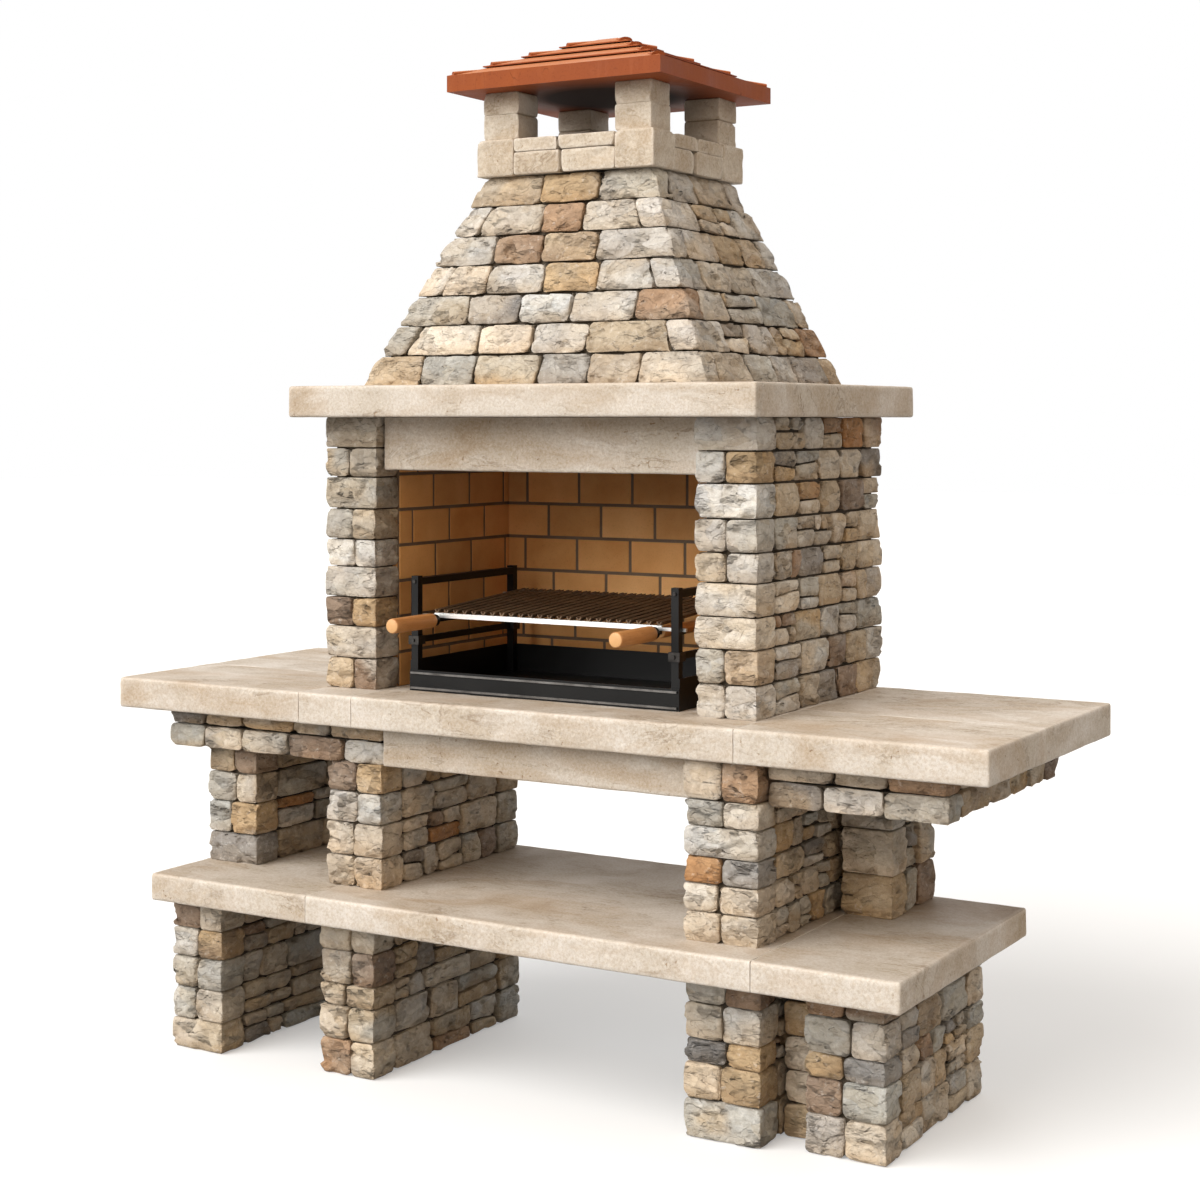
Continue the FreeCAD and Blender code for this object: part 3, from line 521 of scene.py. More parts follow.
class Shader:
    """A material of nodes around one Principled shader."""

    def __init__(self, name, metallic=0.0):
        self.material = bpy.data.materials.new(name)
        self.material.use_nodes = True
        self.tree = self.material.node_tree
        self.shader = self.tree.nodes["Principled BSDF"]
        self.shader.inputs["Metallic"].default_value = metallic

    def put(self, socket, value):
        """Links another node's output to a socket, or sets a constant on it."""
        if isinstance(value, bpy.types.NodeSocket):
            self.tree.links.new(value, socket)
        else:
            socket.default_value = value

    def add(self, kind, inputs=None, **settings):
        node = self.tree.nodes.new("ShaderNode" + kind)
        for key, value in settings.items():
            setattr(node, key, value)
        for key, value in (inputs or {}).items():
            self.put(node.inputs[key], value)
        return node

    def number(self, operation, a, b=0.0):
        """A number worked out from one or two others."""
        return self.add("Math", {0: a, 1: b}, operation=operation).outputs[0]

    def vector(self, operation, a, b=(0.0, 0.0, 0.0), output="Vector"):
        """A vector, or with the output Value a number, worked out from one or two vectors."""
        return self.add("VectorMath", {0: a, 1: b}, operation=operation).outputs[output]

    def part(self, vector, axis):
        return self.add("SeparateXYZ", {0: vector}).outputs[axis]

    def facing(self, axis):
        """How far the surface looks along one axis."""
        return self.part(self.add("NewGeometry").outputs["Normal"], axis)

    def attribute(self, name, output="Fac"):
        return self.add("Attribute", attribute_name=name).outputs[output]

    def place(self, stretch=None):
        """Coordinates that ride with the piece, shifted from stone to stone where it has seeds."""
        at = self.add("TexCoord").outputs["Object"]
        at = self.vector("ADD", at, self.attribute("seed", "Vector"))
        return self.vector("MULTIPLY", at, stretch) if stretch else at

    def noise(self, at, scale, detail=4.0, roughness=0.55, distortion=0.0, output="Fac"):
        inputs = {"Vector": at, "Scale": scale, "Detail": detail}
        inputs |= {"Roughness": roughness, "Distortion": distortion}
        return self.add("TexNoise", inputs).outputs[output]

    def bent(self, at, scale, amount):
        """Coordinates pushed about by noise."""
        swirl = self.noise(at, scale, 3.0, output="Color")
        return self.vector("ADD", at, self.vector("MULTIPLY", swirl, (amount,) * 3))

    def facets(self, at, scale, slope):
        """Flat chips, each with its own tilt: their height in metres and a random number for each."""
        cell = self.add("TexVoronoi", {"Vector": at, "Scale": scale}).outputs
        tilt = self.vector("SUBTRACT", cell["Color"], (0.5, 0.5, 0.5))
        away = self.vector("SUBTRACT", at, cell["Position"])
        height = self.vector("DOT_PRODUCT", tilt, away, "Value")
        return self.times(height, slope), self.part(cell["Color"], "X")

    def span(self, value, low, high, to_low=0.0, to_high=1.0):
        """A value carried from one span to another, and held at its ends."""
        inputs = {"Value": value, "From Min": low, "From Max": high, "To Min": to_low, "To Max": to_high}
        return self.add("MapRange", inputs).outputs["Result"]

    def lines(self, value, width):
        """1 along the curves where a noise crosses its middle, 0 away from them."""
        away = self.number("ABSOLUTE", self.number("SUBTRACT", value, 0.5))
        return self.span(away, 0.0, width, 1.0, 0.0)

    def times(self, a, b):
        return self.number("MULTIPLY", a, b)

    def mix(self, factor, a, b, blend="MIX"):
        """Two colours mixed; a tuple is a colour in display values."""
        node = self.add("Mix", data_type="RGBA", blend_type=blend)
        for socket, value in ((node.inputs["Factor"], factor), (node.inputs[6], a), (node.inputs[7], b)):
            self.put(socket, (*linear(value), 1.0) if isinstance(value, tuple) else value)
        return node.outputs[2]

    def tint(self, factor, base, colour):
        """The base multiplied by a colour, as far as the factor says."""
        return self.mix(factor, base, colour, "MULTIPLY")

    def bump(self, height, distance, strength=1.0, below=None):
        """A normal tilted by a height, on top of another bump's normal."""
        inputs = {"Height": height, "Distance": distance, "Strength": strength}
        if below:
            inputs["Normal"] = below
        return self.add("Bump", inputs).outputs["Normal"]

    def finish(self, base, roughness, normal):
        for key, value in (("Base Color", base), ("Roughness", roughness), ("Normal", normal)):
            self.put(self.shader.inputs[key], value)
        return self.material


def stone_material():
    """Split field stone: each stone's own tones, clouded, in flat chips, with painted shade towards its
    foot and rims and painted shadow lines along its ledges.
    """
    s = Shader("split_stone")
    at = s.place()
    bent = s.bent(s.bent(s.place((1.0, 1.0, 1.9)), 28.0, 0.022), 90.0, 0.006)
    cloud = s.noise(at, 9.0, 5.0, 0.6, 0.6)
    fleck = s.noise(at, 75.0, 4.0, 0.6, 0.3)
    grain = s.noise(at, 260.0, 3.0, 0.7)
    large, large_chip = s.facets(bent, 16.0, 0.75)
    small, small_chip = s.facets(bent, 42.0, 0.45)
    ridge = s.noise(bent, 13.0, 3.0, 0.5, 0.8)
    ledge = s.span(ridge, 0.49, 0.52)
    crack = s.lines(s.noise(bent, 11.0, 3.0, 0.5, 1.2), 0.008)
    # painted shade: darker and browner towards each stone's foot and its rims at the joints, broken up by
    # clouds
    foot_and_rim_shade = s.number("ADD", s.attribute("level"), cloud)
    base = s.attribute("tone", "Color")
    base = s.tint(s.span(cloud, 0.60, 0.38), base, (0.91, 0.91, 0.92))
    base = s.tint(s.span(foot_and_rim_shade, 0.95, 0.55, 0.0, 0.35), base, (0.88, 0.80, 0.69))
    base = s.tint(s.span(large_chip, 0.5, 1.0, 0.0, 0.5), base, (0.91, 0.86, 0.78))
    base = s.tint(s.span(small_chip, 0.5, 1.0, 0.0, 0.5), base, (0.91, 0.89, 0.86))
    base = s.tint(s.span(fleck, 0.58, 0.36, 0.0, 0.45), base, (0.90, 0.88, 0.85))
    base = s.mix(s.span(fleck, 0.58, 0.75, 0.0, 0.35), base, (0.93, 0.91, 0.88))
    base = s.tint(s.span(grain, 0.55, 0.35, 0.0, 0.4), base, (0.88, 0.86, 0.83))
    # painted shadow: dark lines along the ledges, where an upper layer overhangs
    base = s.tint(s.times(s.lines(ridge, 0.012), 0.2), base, (0.70, 0.62, 0.54))
    base = s.tint(s.times(crack, s.span(cloud, 0.50, 0.64, 0.0, 0.3)), base, (0.60, 0.52, 0.44))
    normal = s.bump(large, 1.0, 1.0)
    normal = s.bump(small, 1.0, 0.8, normal)
    normal = s.bump(ledge, 0.0025, 0.7, normal)
    normal = s.bump(fleck, 0.0025, 0.6, normal)
    normal = s.bump(grain, 0.0008, 0.5, normal)
    return s.finish(base, s.span(fleck, 0.3, 0.7, 0.80, 0.95), normal)


def limestone_material(name, light, dark, worm, worm_scale):
    """Limestone: soft clouds and long veins, curls and pits on the upright faces, and scuffed tops.

    Painted shade darkens the tops towards the back of the slabs that are low down, which are the shelf's,
    where the worktop shades them.
    """
    s = Shader(name)
    at = s.place()
    geometry = s.add("NewGeometry").outputs
    normal_z = s.part(geometry["Normal"], "Z")
    upright = s.span(normal_z, 0.75, 0.35)
    upward = s.span(normal_z, 0.35, 0.75)
    cloud = s.noise(at, 4.5, 6.0, 0.6, 0.6)
    vein = s.noise(s.bent(s.place((2.2, 5.0, 6.0)), 2.0, 0.5), 1.0, 5.0, 0.62, 1.2)
    curl = s.noise(s.bent(at, 40.0, 0.02), worm_scale, 4.0, 0.6, 2.2)
    fleck = s.noise(at, 150.0, 3.0, 0.7)
    streak = s.noise(s.bent(s.place((8.0, 28.0, 8.0)), 1.5, 0.6), 1.0, 5.0, 0.6, 0.5)
    scuffs = s.times(s.lines(streak, 0.025), s.span(cloud, 0.40, 0.60, 0.0, 0.5))
    behind = s.span(s.part(geometry["Position"], "Y"), *shelf_shade_depths, 0.0, 0.9)
    shelf_shade = s.times(behind, s.span(s.part(geometry["Position"], "Z"), *shelf_shade_heights))
    pits = s.times(s.span(s.noise(at, 62.0, 2.0, 0.6, 0.8), 0.33, 0.27), s.span(cloud, 0.42, 0.55))
    worms = s.times(s.lines(curl, 0.04), upright)
    base = s.mix(s.span(cloud, 0.35, 0.65), light, dark)
    base = s.tint(s.span(vein, 0.46, 0.70, 0.0, 0.8), base, (0.87, 0.80, 0.71))
    thread = s.times(s.lines(vein, 0.02), s.span(cloud, 0.45, 0.6, 0.0, 0.5))
    base = s.tint(thread, base, (0.66, 0.57, 0.47))
    base = s.tint(s.times(worms, worm), base, (0.66, 0.58, 0.48))
    base = s.mix(s.times(s.span(curl, 0.55, 0.68, 0.0, 0.22), upright), base, (0.90, 0.86, 0.79))
    base = s.tint(s.span(fleck, 0.58, 0.36, 0.0, 0.6), base, (0.88, 0.83, 0.76))
    base = s.tint(s.times(pits, upright), base, (0.80, 0.72, 0.63))
    # painted shade: faces that look up are toned a little darker, for the light that falls on them from
    # above
    base = s.tint(upward, base, (0.95, 0.94, 0.93))
    base = s.tint(s.times(scuffs, upward), base, (0.76, 0.69, 0.60))
    # painted shade: the shelf's tops darker towards the back, under the worktop
    base = s.tint(s.times(shelf_shade, upward), base, (0.72, 0.67, 0.61))
    # painted highlight and edge wear: sharp edges lighter, as they catch the light
    base = s.mix(s.span(geometry["Pointiness"], 0.51, 0.56, 0.0, 0.5), base, (0.94, 0.91, 0.87))
    normal = s.bump(worms, -0.0012, 0.4)
    normal = s.bump(s.times(curl, upright), 0.002, 0.35, normal)
    normal = s.bump(pits, -0.0015, 0.7, normal)
    normal = s.bump(fleck, 0.0012, 0.4, normal)
    return s.finish(base, s.span(cloud, 0.3, 0.7, 0.58, 0.78), normal)


def brick_material():
    """Firebricks and their joints, each in its own tone."""
    s = Shader("firebrick")
    at = s.place()
    cloud = s.noise(at, 6.0, 4.0, 0.55)
    grain = s.noise(at, 240.0, 3.0, 0.7)
    base = s.attribute("tone", "Color")
    base = s.tint(s.span(cloud, 0.3, 0.7), base, (0.90, 0.84, 0.76))
    base = s.tint(s.span(grain, 0.55, 0.8, 0.0, 0.5), base, (0.76, 0.68, 0.60))
    normal = s.bump(grain, 0.0008, 0.5, s.bump(cloud, 0.002, 0.3))
    return s.finish(base, s.span(cloud, 0.3, 0.7, 0.72, 0.88), normal)


def mortar_material():
    """Rough dark mortar with grit."""
    s = Shader("mortar")
    at = s.place()
    lump = s.noise(at, 30.0, 5.0, 0.65)
    grit = s.noise(at, 260.0, 2.0, 0.7)
    base = s.mix(s.span(lump, 0.3, 0.7), (0.22, 0.19, 0.15), (0.31, 0.27, 0.22))
    base = s.mix(s.span(grit, 0.5, 0.75, 0.0, 0.6), base, (0.16, 0.13, 0.10))
    normal = s.bump(grit, 0.0012, 0.7, s.bump(lump, 0.006, 0.7))
    return s.finish(base, s.span(lump, 0.3, 0.7, 0.88, 0.98), normal)


def terracotta_material():
    """Fired clay, painted lighter on top as painted light from above, and darkened above the flue with
    soot and painted shade.
    """
    s = Shader("terracotta")
    s.shader.inputs["Specular IOR Level"].default_value = 0.18
    at = s.place()
    cloud = s.noise(at, 7.0, 5.0, 0.6, 0.4)
    speck = s.noise(at, 190.0, 3.0, 0.7)
    drag = s.noise(s.place((45.0, 45.0, 12.0)), 1.0, 4.0, 0.6)
    crack = s.lines(s.noise(s.place((20.0, 20.0, 5.0)), 1.0, 2.0, 0.5), 0.006)
    base = s.mix(s.span(cloud, 0.3, 0.7), (0.54, 0.26, 0.115), (0.60, 0.31, 0.15))
    upward = s.facing("Z")
    # painted light: faces that look up are mixed towards a lighter tone, as if lit from above
    base = s.mix(s.span(upward, 0.5, 0.9, 0.0, 0.6), base, (0.78, 0.51, 0.33))
    base = s.tint(s.span(speck, 0.55, 0.78, 0.0, 0.7), base, (0.78, 0.68, 0.62))
    base = s.mix(s.span(drag, 0.52, 0.78, 0.0, 0.35), base, (0.66, 0.38, 0.23))
    base = s.tint(s.times(crack, s.span(cloud, 0.5, 0.6, 0.0, 0.7)), base, (0.45, 0.35, 0.30))
    # soot and painted shade: the roof's underside darkened near the flue, where it lies in shade
    aside = s.vector("MULTIPLY", s.vector("SUBTRACT", at, flue_axis), (1.0, 1.0, 0.0))
    aside = s.vector("LENGTH", aside, output="Value")
    soot = s.times(s.span(aside, *soot_and_shade_radii, 0.0, 0.95), s.span(upward, -0.4, -0.8))
    base = s.mix(soot, base, (0.13, 0.10, 0.09))
    normal = s.bump(speck, 0.0008, 0.5, s.bump(drag, 0.0015, 0.35))
    return s.finish(base, s.number("MAXIMUM", s.span(cloud, 0.3, 0.7, 0.55, 0.75), soot), normal)


def paint_material():
    """Satin black heat paint with a faint haze."""
    s = Shader("black_paint")
    s.shader.inputs["Specular IOR Level"].default_value = 0.22
    at = s.place()
    haze = s.noise(at, 7.0, 4.0, 0.6)
    grit = s.noise(at, 320.0, 2.0, 0.6)
    base = s.mix(s.span(haze, 0.35, 0.7), (0.02, 0.02, 0.022), (0.045, 0.043, 0.042))
    return s.finish(base, s.span(haze, 0.3, 0.7, 0.34, 0.50), s.bump(grit, 0.0004, 0.35))


def steel_material(name, light, dark, low, high):
    """Drawn steel, tarnished from light to dark, with roughness from low to high."""
    s = Shader(name, 1.0)
    draw = s.noise(s.place((12.0, 700.0, 700.0)), 1.0, 3.0, 0.6)
    tarnish = s.noise(s.place(), 18.0, 4.0, 0.6)
    base = s.mix(s.span(tarnish, 0.35, 0.7), light, dark)
    base = s.tint(s.span(draw, 0.4, 0.7, 0.0, 0.35), base, (0.7, 0.7, 0.7))
    return s.finish(base, s.span(tarnish, 0.3, 0.7, low, high), s.bump(draw, 0.0003, 0.3))


def bar_material():
    """Grill bars browned by heat, with soot."""
    s = Shader("browned_bars", 0.3)
    at = s.place()
    heat = s.noise(at, 9.0, 4.0, 0.6)
    soot = s.noise(at, 60.0, 4.0, 0.65)
    base = s.mix(s.span(heat, 0.3, 0.7), (0.34, 0.26, 0.19), (0.46, 0.37, 0.28))
    base = s.mix(s.span(soot, 0.5, 0.75, 0.0, 0.6), base, (0.18, 0.14, 0.11))
    return s.finish(base, s.span(soot, 0.3, 0.7, 0.38, 0.62), s.bump(soot, 0.0006, 0.4))


def wood_material():
    """Turned beech, its grain along the grip."""
    s = Shader("beech")
    grain = s.noise(s.place((60.0, 5.0, 60.0)), 1.0, 5.0, 0.6, 0.8)
    pores = s.noise(s.place((700.0, 45.0, 700.0)), 1.0, 2.0, 0.6)
    end_grain = s.facing("Y")
    base = s.mix(s.span(grain, 0.3, 0.7), (0.80, 0.57, 0.35), (0.70, 0.46, 0.25))
    base = s.mix(s.span(pores, 0.55, 0.75, 0.0, 0.5), base, (0.57, 0.35, 0.18))
    base = s.mix(s.span(end_grain, -0.7, -0.95, 0.0, 0.6), base, (0.88, 0.70, 0.48))
    return s.finish(base, s.span(grain, 0.3, 0.7, 0.42, 0.58), s.bump(pores, 0.0004, 0.4))


def shade(rng, colour):
    """A tone varied a little in brightness and warmth."""
    light = rng.uniform(0.94, 1.05)
    warm = rng.uniform(-0.012, 0.012)
    return tuple(min(1.0, c * light + w) for c, w in zip(colour, (warm, 0.0, -warm)))


def pick(rng):
    """The name of a tone, drawn from the mix."""
    weights = np.array(list(MIX.values()), float)
    return list(MIX)[rng.choice(len(MIX), p=weights / weights.sum())]


def tones(rng, name):
    """A stone's main tone and the tone of its patches."""
    warm = name in ("tan", "ochre", "rust", "brown")
    others = ("cream", "grey", "brown", "pale") if warm else ("tan", "beige", "ochre", "grey", "white")
    other = TONES[others[rng.integers(len(others))]]
    strength = rng.uniform(0.15, 0.75)
    accent = tuple(a + (b - a) * strength for a, b in zip(TONES[name], other))
    return shade(rng, TONES[name]), shade(rng, accent)


def course_tones(node, blocks):
    """The tone name of each block in the node's front, by the block's place in its course."""
    courses = [c.split() for c in FRONTS.get(node, "").split("/")]
    level = [round(float(corner[0, 0, 0, 2]), 2) for corner, _ in blocks]
    ahead = [n for n, (_, outer) in enumerate(blocks) if FRONT in outer]
    levels = sorted({level[n] for n in ahead}, reverse=True)
    named = {}
    for names, z in zip(courses, levels):
        row = sorted((n for n in ahead if level[n] == z), key=lambda n: blocks[n][0][..., 0].mean())
        for place, n in enumerate(row):
            if names:
                named[n] = names[min(len(names) - 1, place * len(names) // len(row))]
    return named


def stonework(node, seed, sides, split, pile, relief, material):
    """Rough stones in the place of a node's plain blocks, seen from some sides and split up on some."""
    rng = np.random.default_rng(seed)
    low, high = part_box(node)
    blocks = []
    for triangles in solids_of(node):
        corner, outer = squared(triangles)
        if not outer:
            ends = (triangles.min((0, 1)), triangles.max((0, 1)))
            for axis, end in sides:
                if abs(ends[end][axis] - (low, high)[end][axis]) < outer_within:
                    outer.append((axis, end))
        blocks.append((corner, outer or list(sides)))
    named = course_tones(node, blocks)
    for n, (corner, outer) in enumerate(blocks):
        hidden = [f for f in ALL if f not in outer]
        parts = [corner]
        if len(outer) == 1 and outer[0] in split:
            parts = rubble(rng, corner, 1 - outer[0][0])
        for part in parts:
            tone, accent = tones(rng, named.get(n) or pick(rng))
            pile.block(rng, grown(part, hidden, joint_closing), outer, tone, accent)
    dress(pile.mesh("rough_" + node, relief), node, material)


def bedding(core, walls, material):
    """Mortar that fills the joints of some walls to a little behind their faces."""
    rng = np.random.default_rng(7)
    pile = Pile(mortar_edge, mortar_edge, mortar_cell)
    for wall in walls:
        spans = {}
        for triangles in solids_of(wall):
            low, high = triangles.min((0, 1)), triangles.max((0, 1))
            step = 0 if "corbel" not in wall else int(low[2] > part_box(wall)[0][2] + corbel_step)
            seen = spans.get(step, (low, high))
            spans[step] = (np.minimum(low, seen[0]), np.maximum(high, seen[1]))
        for low, high in spans.values():
            inset = np.array([mortar_depth, mortar_depth, 0.0])
            pile.block(rng, box_corners(low + inset, high - inset), ALL, PLAIN)
    dress(pile.mesh("bedding_" + core, mortar_relief), core, material)


def hood_bedding(material):
    """Four sloping panels behind the hood's stones, as the shell that carries them."""
    blocks = [squared(triangles)[0] for triangles in solids_of("hood_stones")]
    points = np.array(blocks).reshape(-1, 3)
    rims = []
    for z in (points[:, 2].min(), points[:, 2].max()):
        level = points[np.abs(points[:, 2] - z) < level_within]
        rims.append((level.min(0), level.max(0)))
    rng = np.random.default_rng(8)
    pile = Pile(mortar_edge, mortar_edge, mortar_cell)
    for axis, end in ROUND:
        corner = np.empty((2, 2, 2, 3))
        for i, j, k in CORNERS:
            depth = mortar_depth if (i, j)[axis] == end else hood_leaf
            inner = (rims[k][0] + depth, rims[k][1] - depth)
            mine = inner[end][axis]
            other = inner[(i, j)[1 - axis]][1 - axis]
            across = (mine, other) if axis == 0 else (other, mine)
            corner[i, j, k] = (*across, rims[k][0][2])
        pile.block(rng, corner, [(axis, end)], PLAIN)
    dress(pile.mesh("bedding_hood", mortar_relief), "hood_shell", material)


def slabwork(node, seed, tight, material):
    """A sawn slab with eased edges, sharp where it meets its neighbour at a seam."""
    pile = Pile(slab_edge, slab_edge, slab_cell)
    hole = smoke_hole if node == "mantel_slab" else None
    gap = np.array([beam_gap if node in ("lintel", "apron_beam") else 0.0, 0.0, 0.0])
    low, high = np.array(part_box(node))
    corner = box_corners(low + gap, high - gap)
    pile.block(np.random.default_rng(seed), corner, ALL, PLAIN, tight=tight, hole=hole)
    dress(pile.mesh("honed_" + node, slab_relief), node, material)


def brickwork(node, seed, face, material):
    """Bricks with one face in view, and joints almost flush with it."""
    rng = np.random.default_rng(seed)
    pile = Pile(brick_edge, brick_edge, brick_cell)
    for triangles in solids_of(node):
        pile.block(rng, squared(triangles)[0], [face], shade(rng, BRICK))
    joints = box_corners(*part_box(node))
    joints[side(*face)] = grown(joints, [face], -brick_joint_depth)[side(*face)]
    pile.block(rng, joints, [face], BRICK_JOINT)
    dress(pile.mesh("fired_" + node, brick_relief), node, material)


def loft(rings, segments, first):
    """Faces that join rings of points and close both ends; first is the number of the first point."""
    faces = []
    for ring, n in itertools.product(range(rings - 1), range(segments)):
        a = first + ring * segments + n
        b = first + ring * segments + (n + 1) % segments
        faces.append((a, b, b + segments, a + segments))
    last = first + (rings - 1) * segments
    return faces + [tuple(range(first, first + segments))[::-1], tuple(range(last, last + segments))]


def lathe(profile, centre):
    """Points in rings of (y, radius) about a line along y through a centre in x and z."""
    points = []
    for (y, radius), n in itertools.product(profile, range(grip_segments)):
        angle = 2 * math.pi * n / grip_segments
        x, z = radius * math.cos(angle), radius * math.sin(angle)
        points.append((centre[0] + x, y, centre[1] + z))
    return points


def grips(node, material):
    """Turned grips with eased ends and a slight swell."""
    points, faces = [], []
    for triangles in solids_of(node):
        low, high = triangles.min((0, 1)), triangles.max((0, 1))
        radius = (high[0] - low[0]) / 2
        length = high[1] - low[1]
        profile = [(low[1] + inset, share * radius) for inset, share in grip_front]
        for along in np.linspace(0.06, 0.94, 9):
            swell = 1 - grip_swell + grip_swell * math.sin(math.pi * along)
            profile.append((low[1] + along * length, swell * radius))
        profile += [(high[1] - inset, share * radius) for inset, share in grip_back]
        faces += loft(len(profile), grip_segments, len(points))
        points += lathe(profile, ((low[0] + high[0]) / 2, (low[2] + high[2]) / 2))
    mesh = bpy.data.meshes.new("grips")
    mesh.from_pydata(points, [], faces)
    mesh.shade_smooth()
    dress(mesh, node, material)


def level_span(points, z):
    """The extent in x and y of the points at one height."""
    level = points[np.abs(points[:, 2] - z) < 1e-4]
    return level.min(0)[:2], level.max(0)[:2]


def tile_course(points):
    """Rings of one hipped course of tiles, whose lip overhangs a shadow gap."""
    foot, brow, crown = np.unique(points[:, 2].round(4))
    outer, inner = level_span(points, foot), level_span(points, crown)
    lip = brow - foot
    slope = (crown - brow) / (outer[1] - inner[1])[0]
    rings = []
    for out, z in (
        (-tile_gap, foot),
        (-tile_gap, foot + 0.4 * lip),
        (tile_overhang, foot + 0.45 * lip),
        (tile_overhang, foot + 0.9 * lip),
        (tile_overhang - 0.2 * lip, brow - slope * tile_overhang + 0.1 * lip),
    ):
        rings.append((outer[0] - out, outer[1] + out, z))
    return rings + [(*inner, crown)]


def hip_cap(start, stop):
    """The two end rings of a half-round cap tile along a hip, wider at its lower end."""
    along = (stop - start) / np.linalg.norm(stop - start)
    across = np.cross(along, (0, 0, 1))
    across /= np.linalg.norm(across)
    up = np.cross(across, along)
    points = []
    for at, radius in ((start, cap_radius), (stop, cap_taper * cap_radius)):
        for angle in np.linspace(math.radians(-20), math.radians(200), cap_segments):
            around = math.cos(angle) * across + 0.5 * math.sin(angle) * up
            points.append(tuple(at + radius * around))
    return points


def tiled_roof(node, material):
    """Courses of tiles with overhanging lips, and caps along the hips."""
    points, faces = [], []
    slab = np.array([v.co for v in nodes["roof_slab"].data.vertices])
    for course in [slab] + [triangles.reshape(-1, 3) for triangles in solids_of(node)]:
        _, brow, crown = np.unique(course[:, 2].round(4))
        if course is not slab:
            rings = tile_course(course)
            faces += loft(len(rings), 4, len(points))
            for low, high, z in rings:
                points += [(low[0], low[1], z), (high[0], low[1], z)]
                points += [(high[0], high[1], z), (low[0], high[1], z)]
        outer, inner = level_span(course, brow), level_span(course, crown)
        for i, j in itertools.product((0, 1), repeat=2):
            stop = np.array([inner[i][0], inner[j][1], crown - 0.5 * cap_radius])
            start = np.array([outer[i][0], outer[j][1], brow])
            faces += loft(2, cap_segments, len(points))
            points += hip_cap(start + cap_start * (stop - start), stop)
    mesh = bpy.data.meshes.new("tile_courses")
    mesh.from_pydata(points, [], faces)
    mesh.update()
    dress(mesh, node, material)


def seen_ray(tree):
    """1 for rays from the camera, also when mirrored or refracted; 0 for light that falls on the part."""
    path = tree.nodes.new("ShaderNodeLightPath")
    total = path.outputs["Is Camera Ray"]
    for name in ("Is Glossy Ray", "Is Transmission Ray"):
        both = tree.nodes.new("ShaderNodeMath")
        both.use_clamp = True
        tree.links.new(total, both.inputs[0])
        tree.links.new(path.outputs[name], both.inputs[1])
        total = both.outputs[0]
    return total


def by_ray(tree, socket, lit, seen):
    """Gives a socket one value for light on the part and another for what the camera sees."""
    spread = tree.nodes.new("ShaderNodeMapRange")
    tree.links.new(seen_ray(tree), spread.inputs["Value"])
    spread.inputs["To Min"].default_value = lit
    spread.inputs["To Max"].default_value = seen
    tree.links.new(spread.outputs["Result"], socket)


def sun(name, towards, energy, angle, colour):
    """A soft lamp: the way its light goes, and how wide its disc is in degrees."""
    lamp = bpy.data.objects.new(name, bpy.data.lights.new(name, "SUN"))
    lamp.data.energy = energy
    lamp.data.angle = math.radians(angle)
    lamp.data.color = colour
    lamp.rotation_euler = Vector(towards).to_track_quat("-Z", "Y").to_euler()
    bpy.context.scene.collection.objects.link(lamp)


# Masonry, from the same corners as the CAD's plain blocks
stone = stone_material()
for seed, (node, sides, split) in enumerate((
    ("outer_left_leg_stones", ROUND, SIDES),
    ("inner_left_leg_stones", ROUND, SIDES),
    ("inner_right_leg_stones", ROUND, SIDES),
    ("outer_right_leg_stones", ROUND, SIDES),
    ("leg_link_stones", (FRONT,), ()),
    ("outer_left_pier_stones", ROUND, SIDES),
    ("inner_left_pier_stones", ROUND, SIDES),
    ("inner_right_pier_stones", ROUND, SIDES),
    ("set_back_pier_stones", ROUND, SIDES),
    ("left_corbel_stones", (FRONT, BACK, LEFT), ()),
    ("right_corbel_stones", (FRONT, BACK, RIGHT), ()),
    ("left_hearth_wall_stones", ROUND, (LEFT,)),
    ("right_hearth_wall_stones", ROUND, (RIGHT,)),
    ("rear_wall_stones", (BACK,), (BACK,)),
    ("hood_stones", ROUND, SIDES),
)):
    pile = Pile(stone_edge, stone_corner, stone_cell, stone_chips)
    stonework(node, 100 + seed, sides, split, pile, stone_relief, stone)

pale_block = limestone_material("pale_block", (0.82, 0.78, 0.72), (0.77, 0.72, 0.65), 0.2, 34.0)
for seed, node in enumerate(("collar_corner_stones", "collar_infill_stones", "chimney_posts")):
    pile = Pile(block_edge, block_corner, block_cell, block_chips)
    stonework(node, 200 + seed, ROUND, (), pile, block_relief, pale_block)

mortar = mortar_material()
bedding("leg_cores", [n for n in nodes if n.endswith(("leg_stones", "leg_link_stones"))], mortar)
bedding("pier_cores", [n for n in nodes if n.endswith("pier_stones")], mortar)
bedding("corbel_cores", ["left_corbel_stones", "right_corbel_stones"], mortar)
hearth_walls = ["left_hearth_wall_stones", "right_hearth_wall_stones", "rear_wall_stones"]
bedding("hearth_cores", hearth_walls, mortar)
hood_bedding(mortar)

slab = limestone_material("limestone_slab", (0.85, 0.82, 0.785), (0.78, 0.74, 0.685), 0.16, 60.0)
for seed, (node, tight) in enumerate({
    "worktop_left_front": (RIGHT, BACK),
    "worktop_left_back": (RIGHT, FRONT),
    "worktop_strip": SIDES,
    "worktop_middle": SIDES,
    "worktop_right_front": (LEFT, BACK),
    "worktop_right_back": (LEFT, FRONT),
    "shelf_left": (RIGHT,),
    "shelf_middle": SIDES,
    "shelf_right": (LEFT,),
    "apron_beam": (*SIDES, TOP),
    "lintel": (*SIDES, TOP),
    "mantel_slab": (),
}.items()):
    slabwork(node, 300 + seed, tight, slab)

brick = brick_material()
for seed, (node, face) in enumerate(
    {"left_firebricks": RIGHT, "right_firebricks": LEFT, "rear_firebricks": FRONT}.items()
):
    brickwork(node, 400 + seed, face, brick)

grips("turned_handles", wood_material())

rubbed_paint = steel_material("rubbed_paint", (0.50, 0.49, 0.48), (0.26, 0.25, 0.24), 0.30, 0.45)
terracotta = terracotta_material()
tiled_roof("roof_tiles", terracotta)

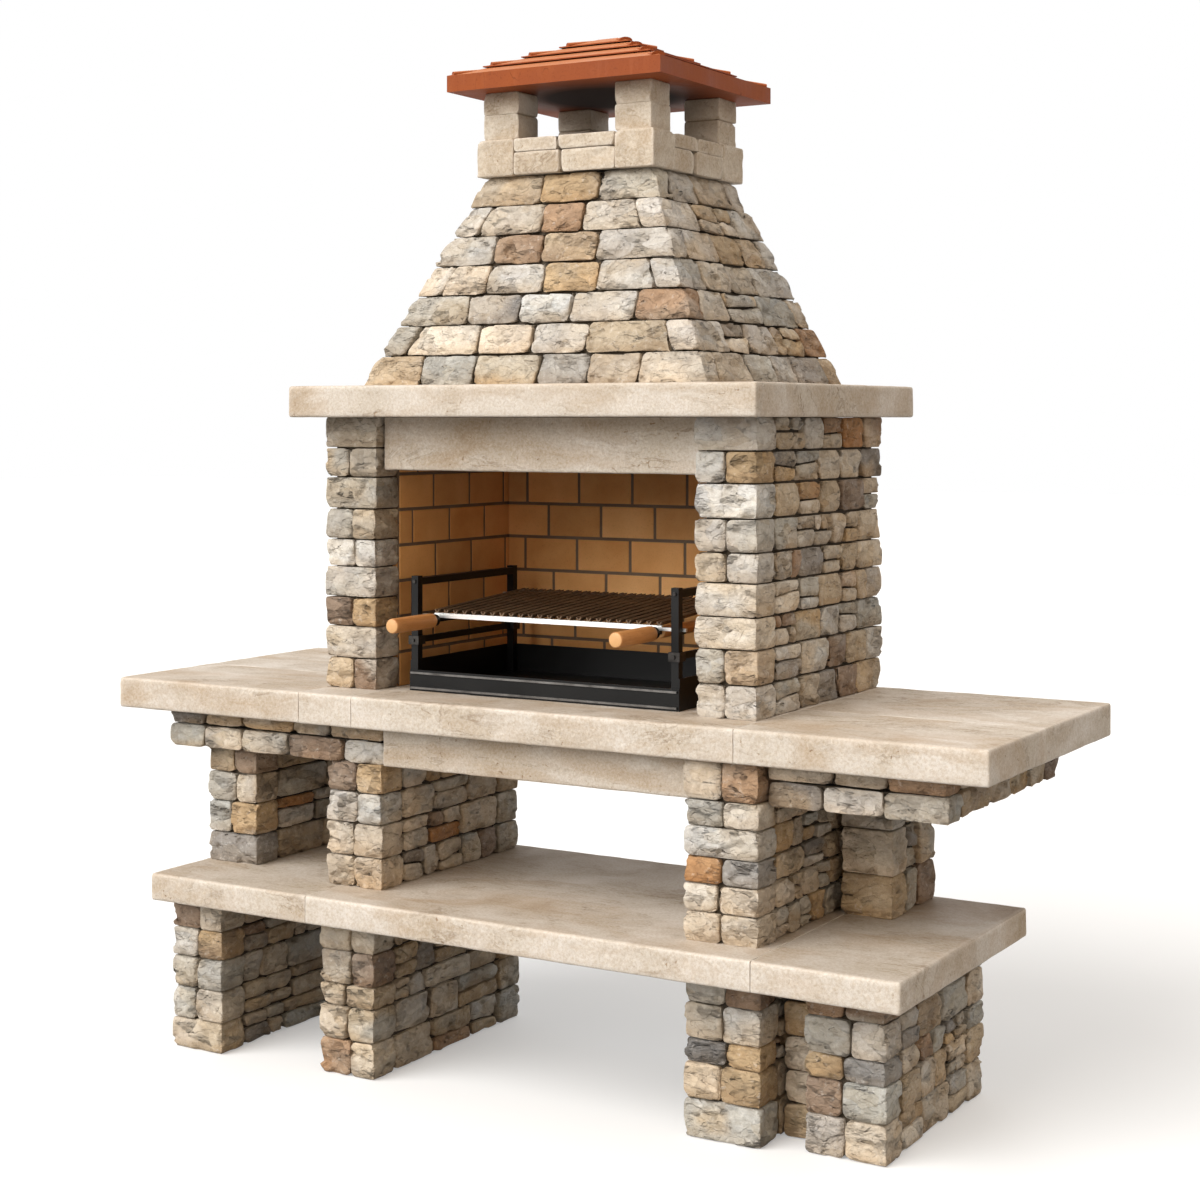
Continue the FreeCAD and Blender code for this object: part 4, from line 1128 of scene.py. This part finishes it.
# Finishes of the CAD pieces that stay in view, and the easing of two of them
FINISHES = {
    "mortar": mortar,
    "terracotta": terracotta,
    "black_painted_steel": paint_material(),
    "clamp_steel": steel_material("worn_zinc", (0.29, 0.28, 0.27), (0.14, 0.13, 0.13), 0.38, 0.6),
    "bright_steel": steel_material("bright_steel", (0.95, 0.95, 0.94), (0.86, 0.86, 0.85), 0.30, 0.45),
    "browned_steel": bar_material(),
    "dark_steel": steel_material("dark_steel", (0.20, 0.18, 0.16), (0.10, 0.09, 0.08), 0.4, 0.6),
}
EASED = {"roof_slab": 0.007, "fire_tray": 0.0008}
for name, node in nodes.items():
    if not node.hide_render:
        node.data.materials.clear()
        node.data.materials.append(rubbed_paint if name == "tray_beads" else FINISHES[slot_of[name]])
        if name in EASED:
            easing = node.modifiers.new("eased edges", "BEVEL")
            easing.width = EASED[name]
            easing.segments = 3
            easing.limit_method = "ANGLE"
            easing.harden_normals = True

# Studio
scene = bpy.context.scene
bpy.ops.mesh.primitive_plane_add(size=floor_size)
floor = bpy.context.object
floor.name = "floor"
ground = bpy.data.materials.new("floor")
ground.use_nodes = True
surface = ground.node_tree.nodes["Principled BSDF"].inputs
surface["Roughness"].default_value = 0.95
surface["Specular IOR Level"].default_value = 0.0
surface["Emission Color"].default_value = (1, 1, 1, 1)
by_ray(ground.node_tree, surface["Base Color"], floor_lit, floor_seen)
by_ray(ground.node_tree, surface["Emission Strength"], 0.0, floor_glow)
floor.data.materials.append(ground)

scene.world = bpy.data.worlds.new("studio")
scene.world.use_nodes = True
backdrop = scene.world.node_tree.nodes["Background"].inputs
backdrop["Color"].default_value = (1, 1, 1, 1)
by_ray(scene.world.node_tree, backdrop["Strength"], world_lit, world_seen)

sun("key", (0.38, 0.74, -0.53), 3.8, 55, (1.0, 0.99, 0.97))
sun("fill", (-0.66, 0.60, -0.38), 1.1, 100, (1.0, 0.76, 0.50))
sun("overhead", (0.05, 0.1, -1.0), 0.6, 110, (1.0, 1.0, 1.0))
sun("rear", (-0.15, -0.85, -0.45), 0.9, 90, (1.0, 0.98, 0.95))

camera = bpy.data.objects.new("camera", bpy.data.cameras.new("camera"))
scene.collection.objects.link(camera)
camera.location = (2.7435, -4.6043, 1.65)
camera.rotation_euler = (math.radians(90), 0, math.radians(30.657))
camera.data.lens = 62.72
camera.data.sensor_width = 36
camera.data.shift_y = -0.1506
scene.camera = camera
scene.view_settings.view_transform = "Standard"
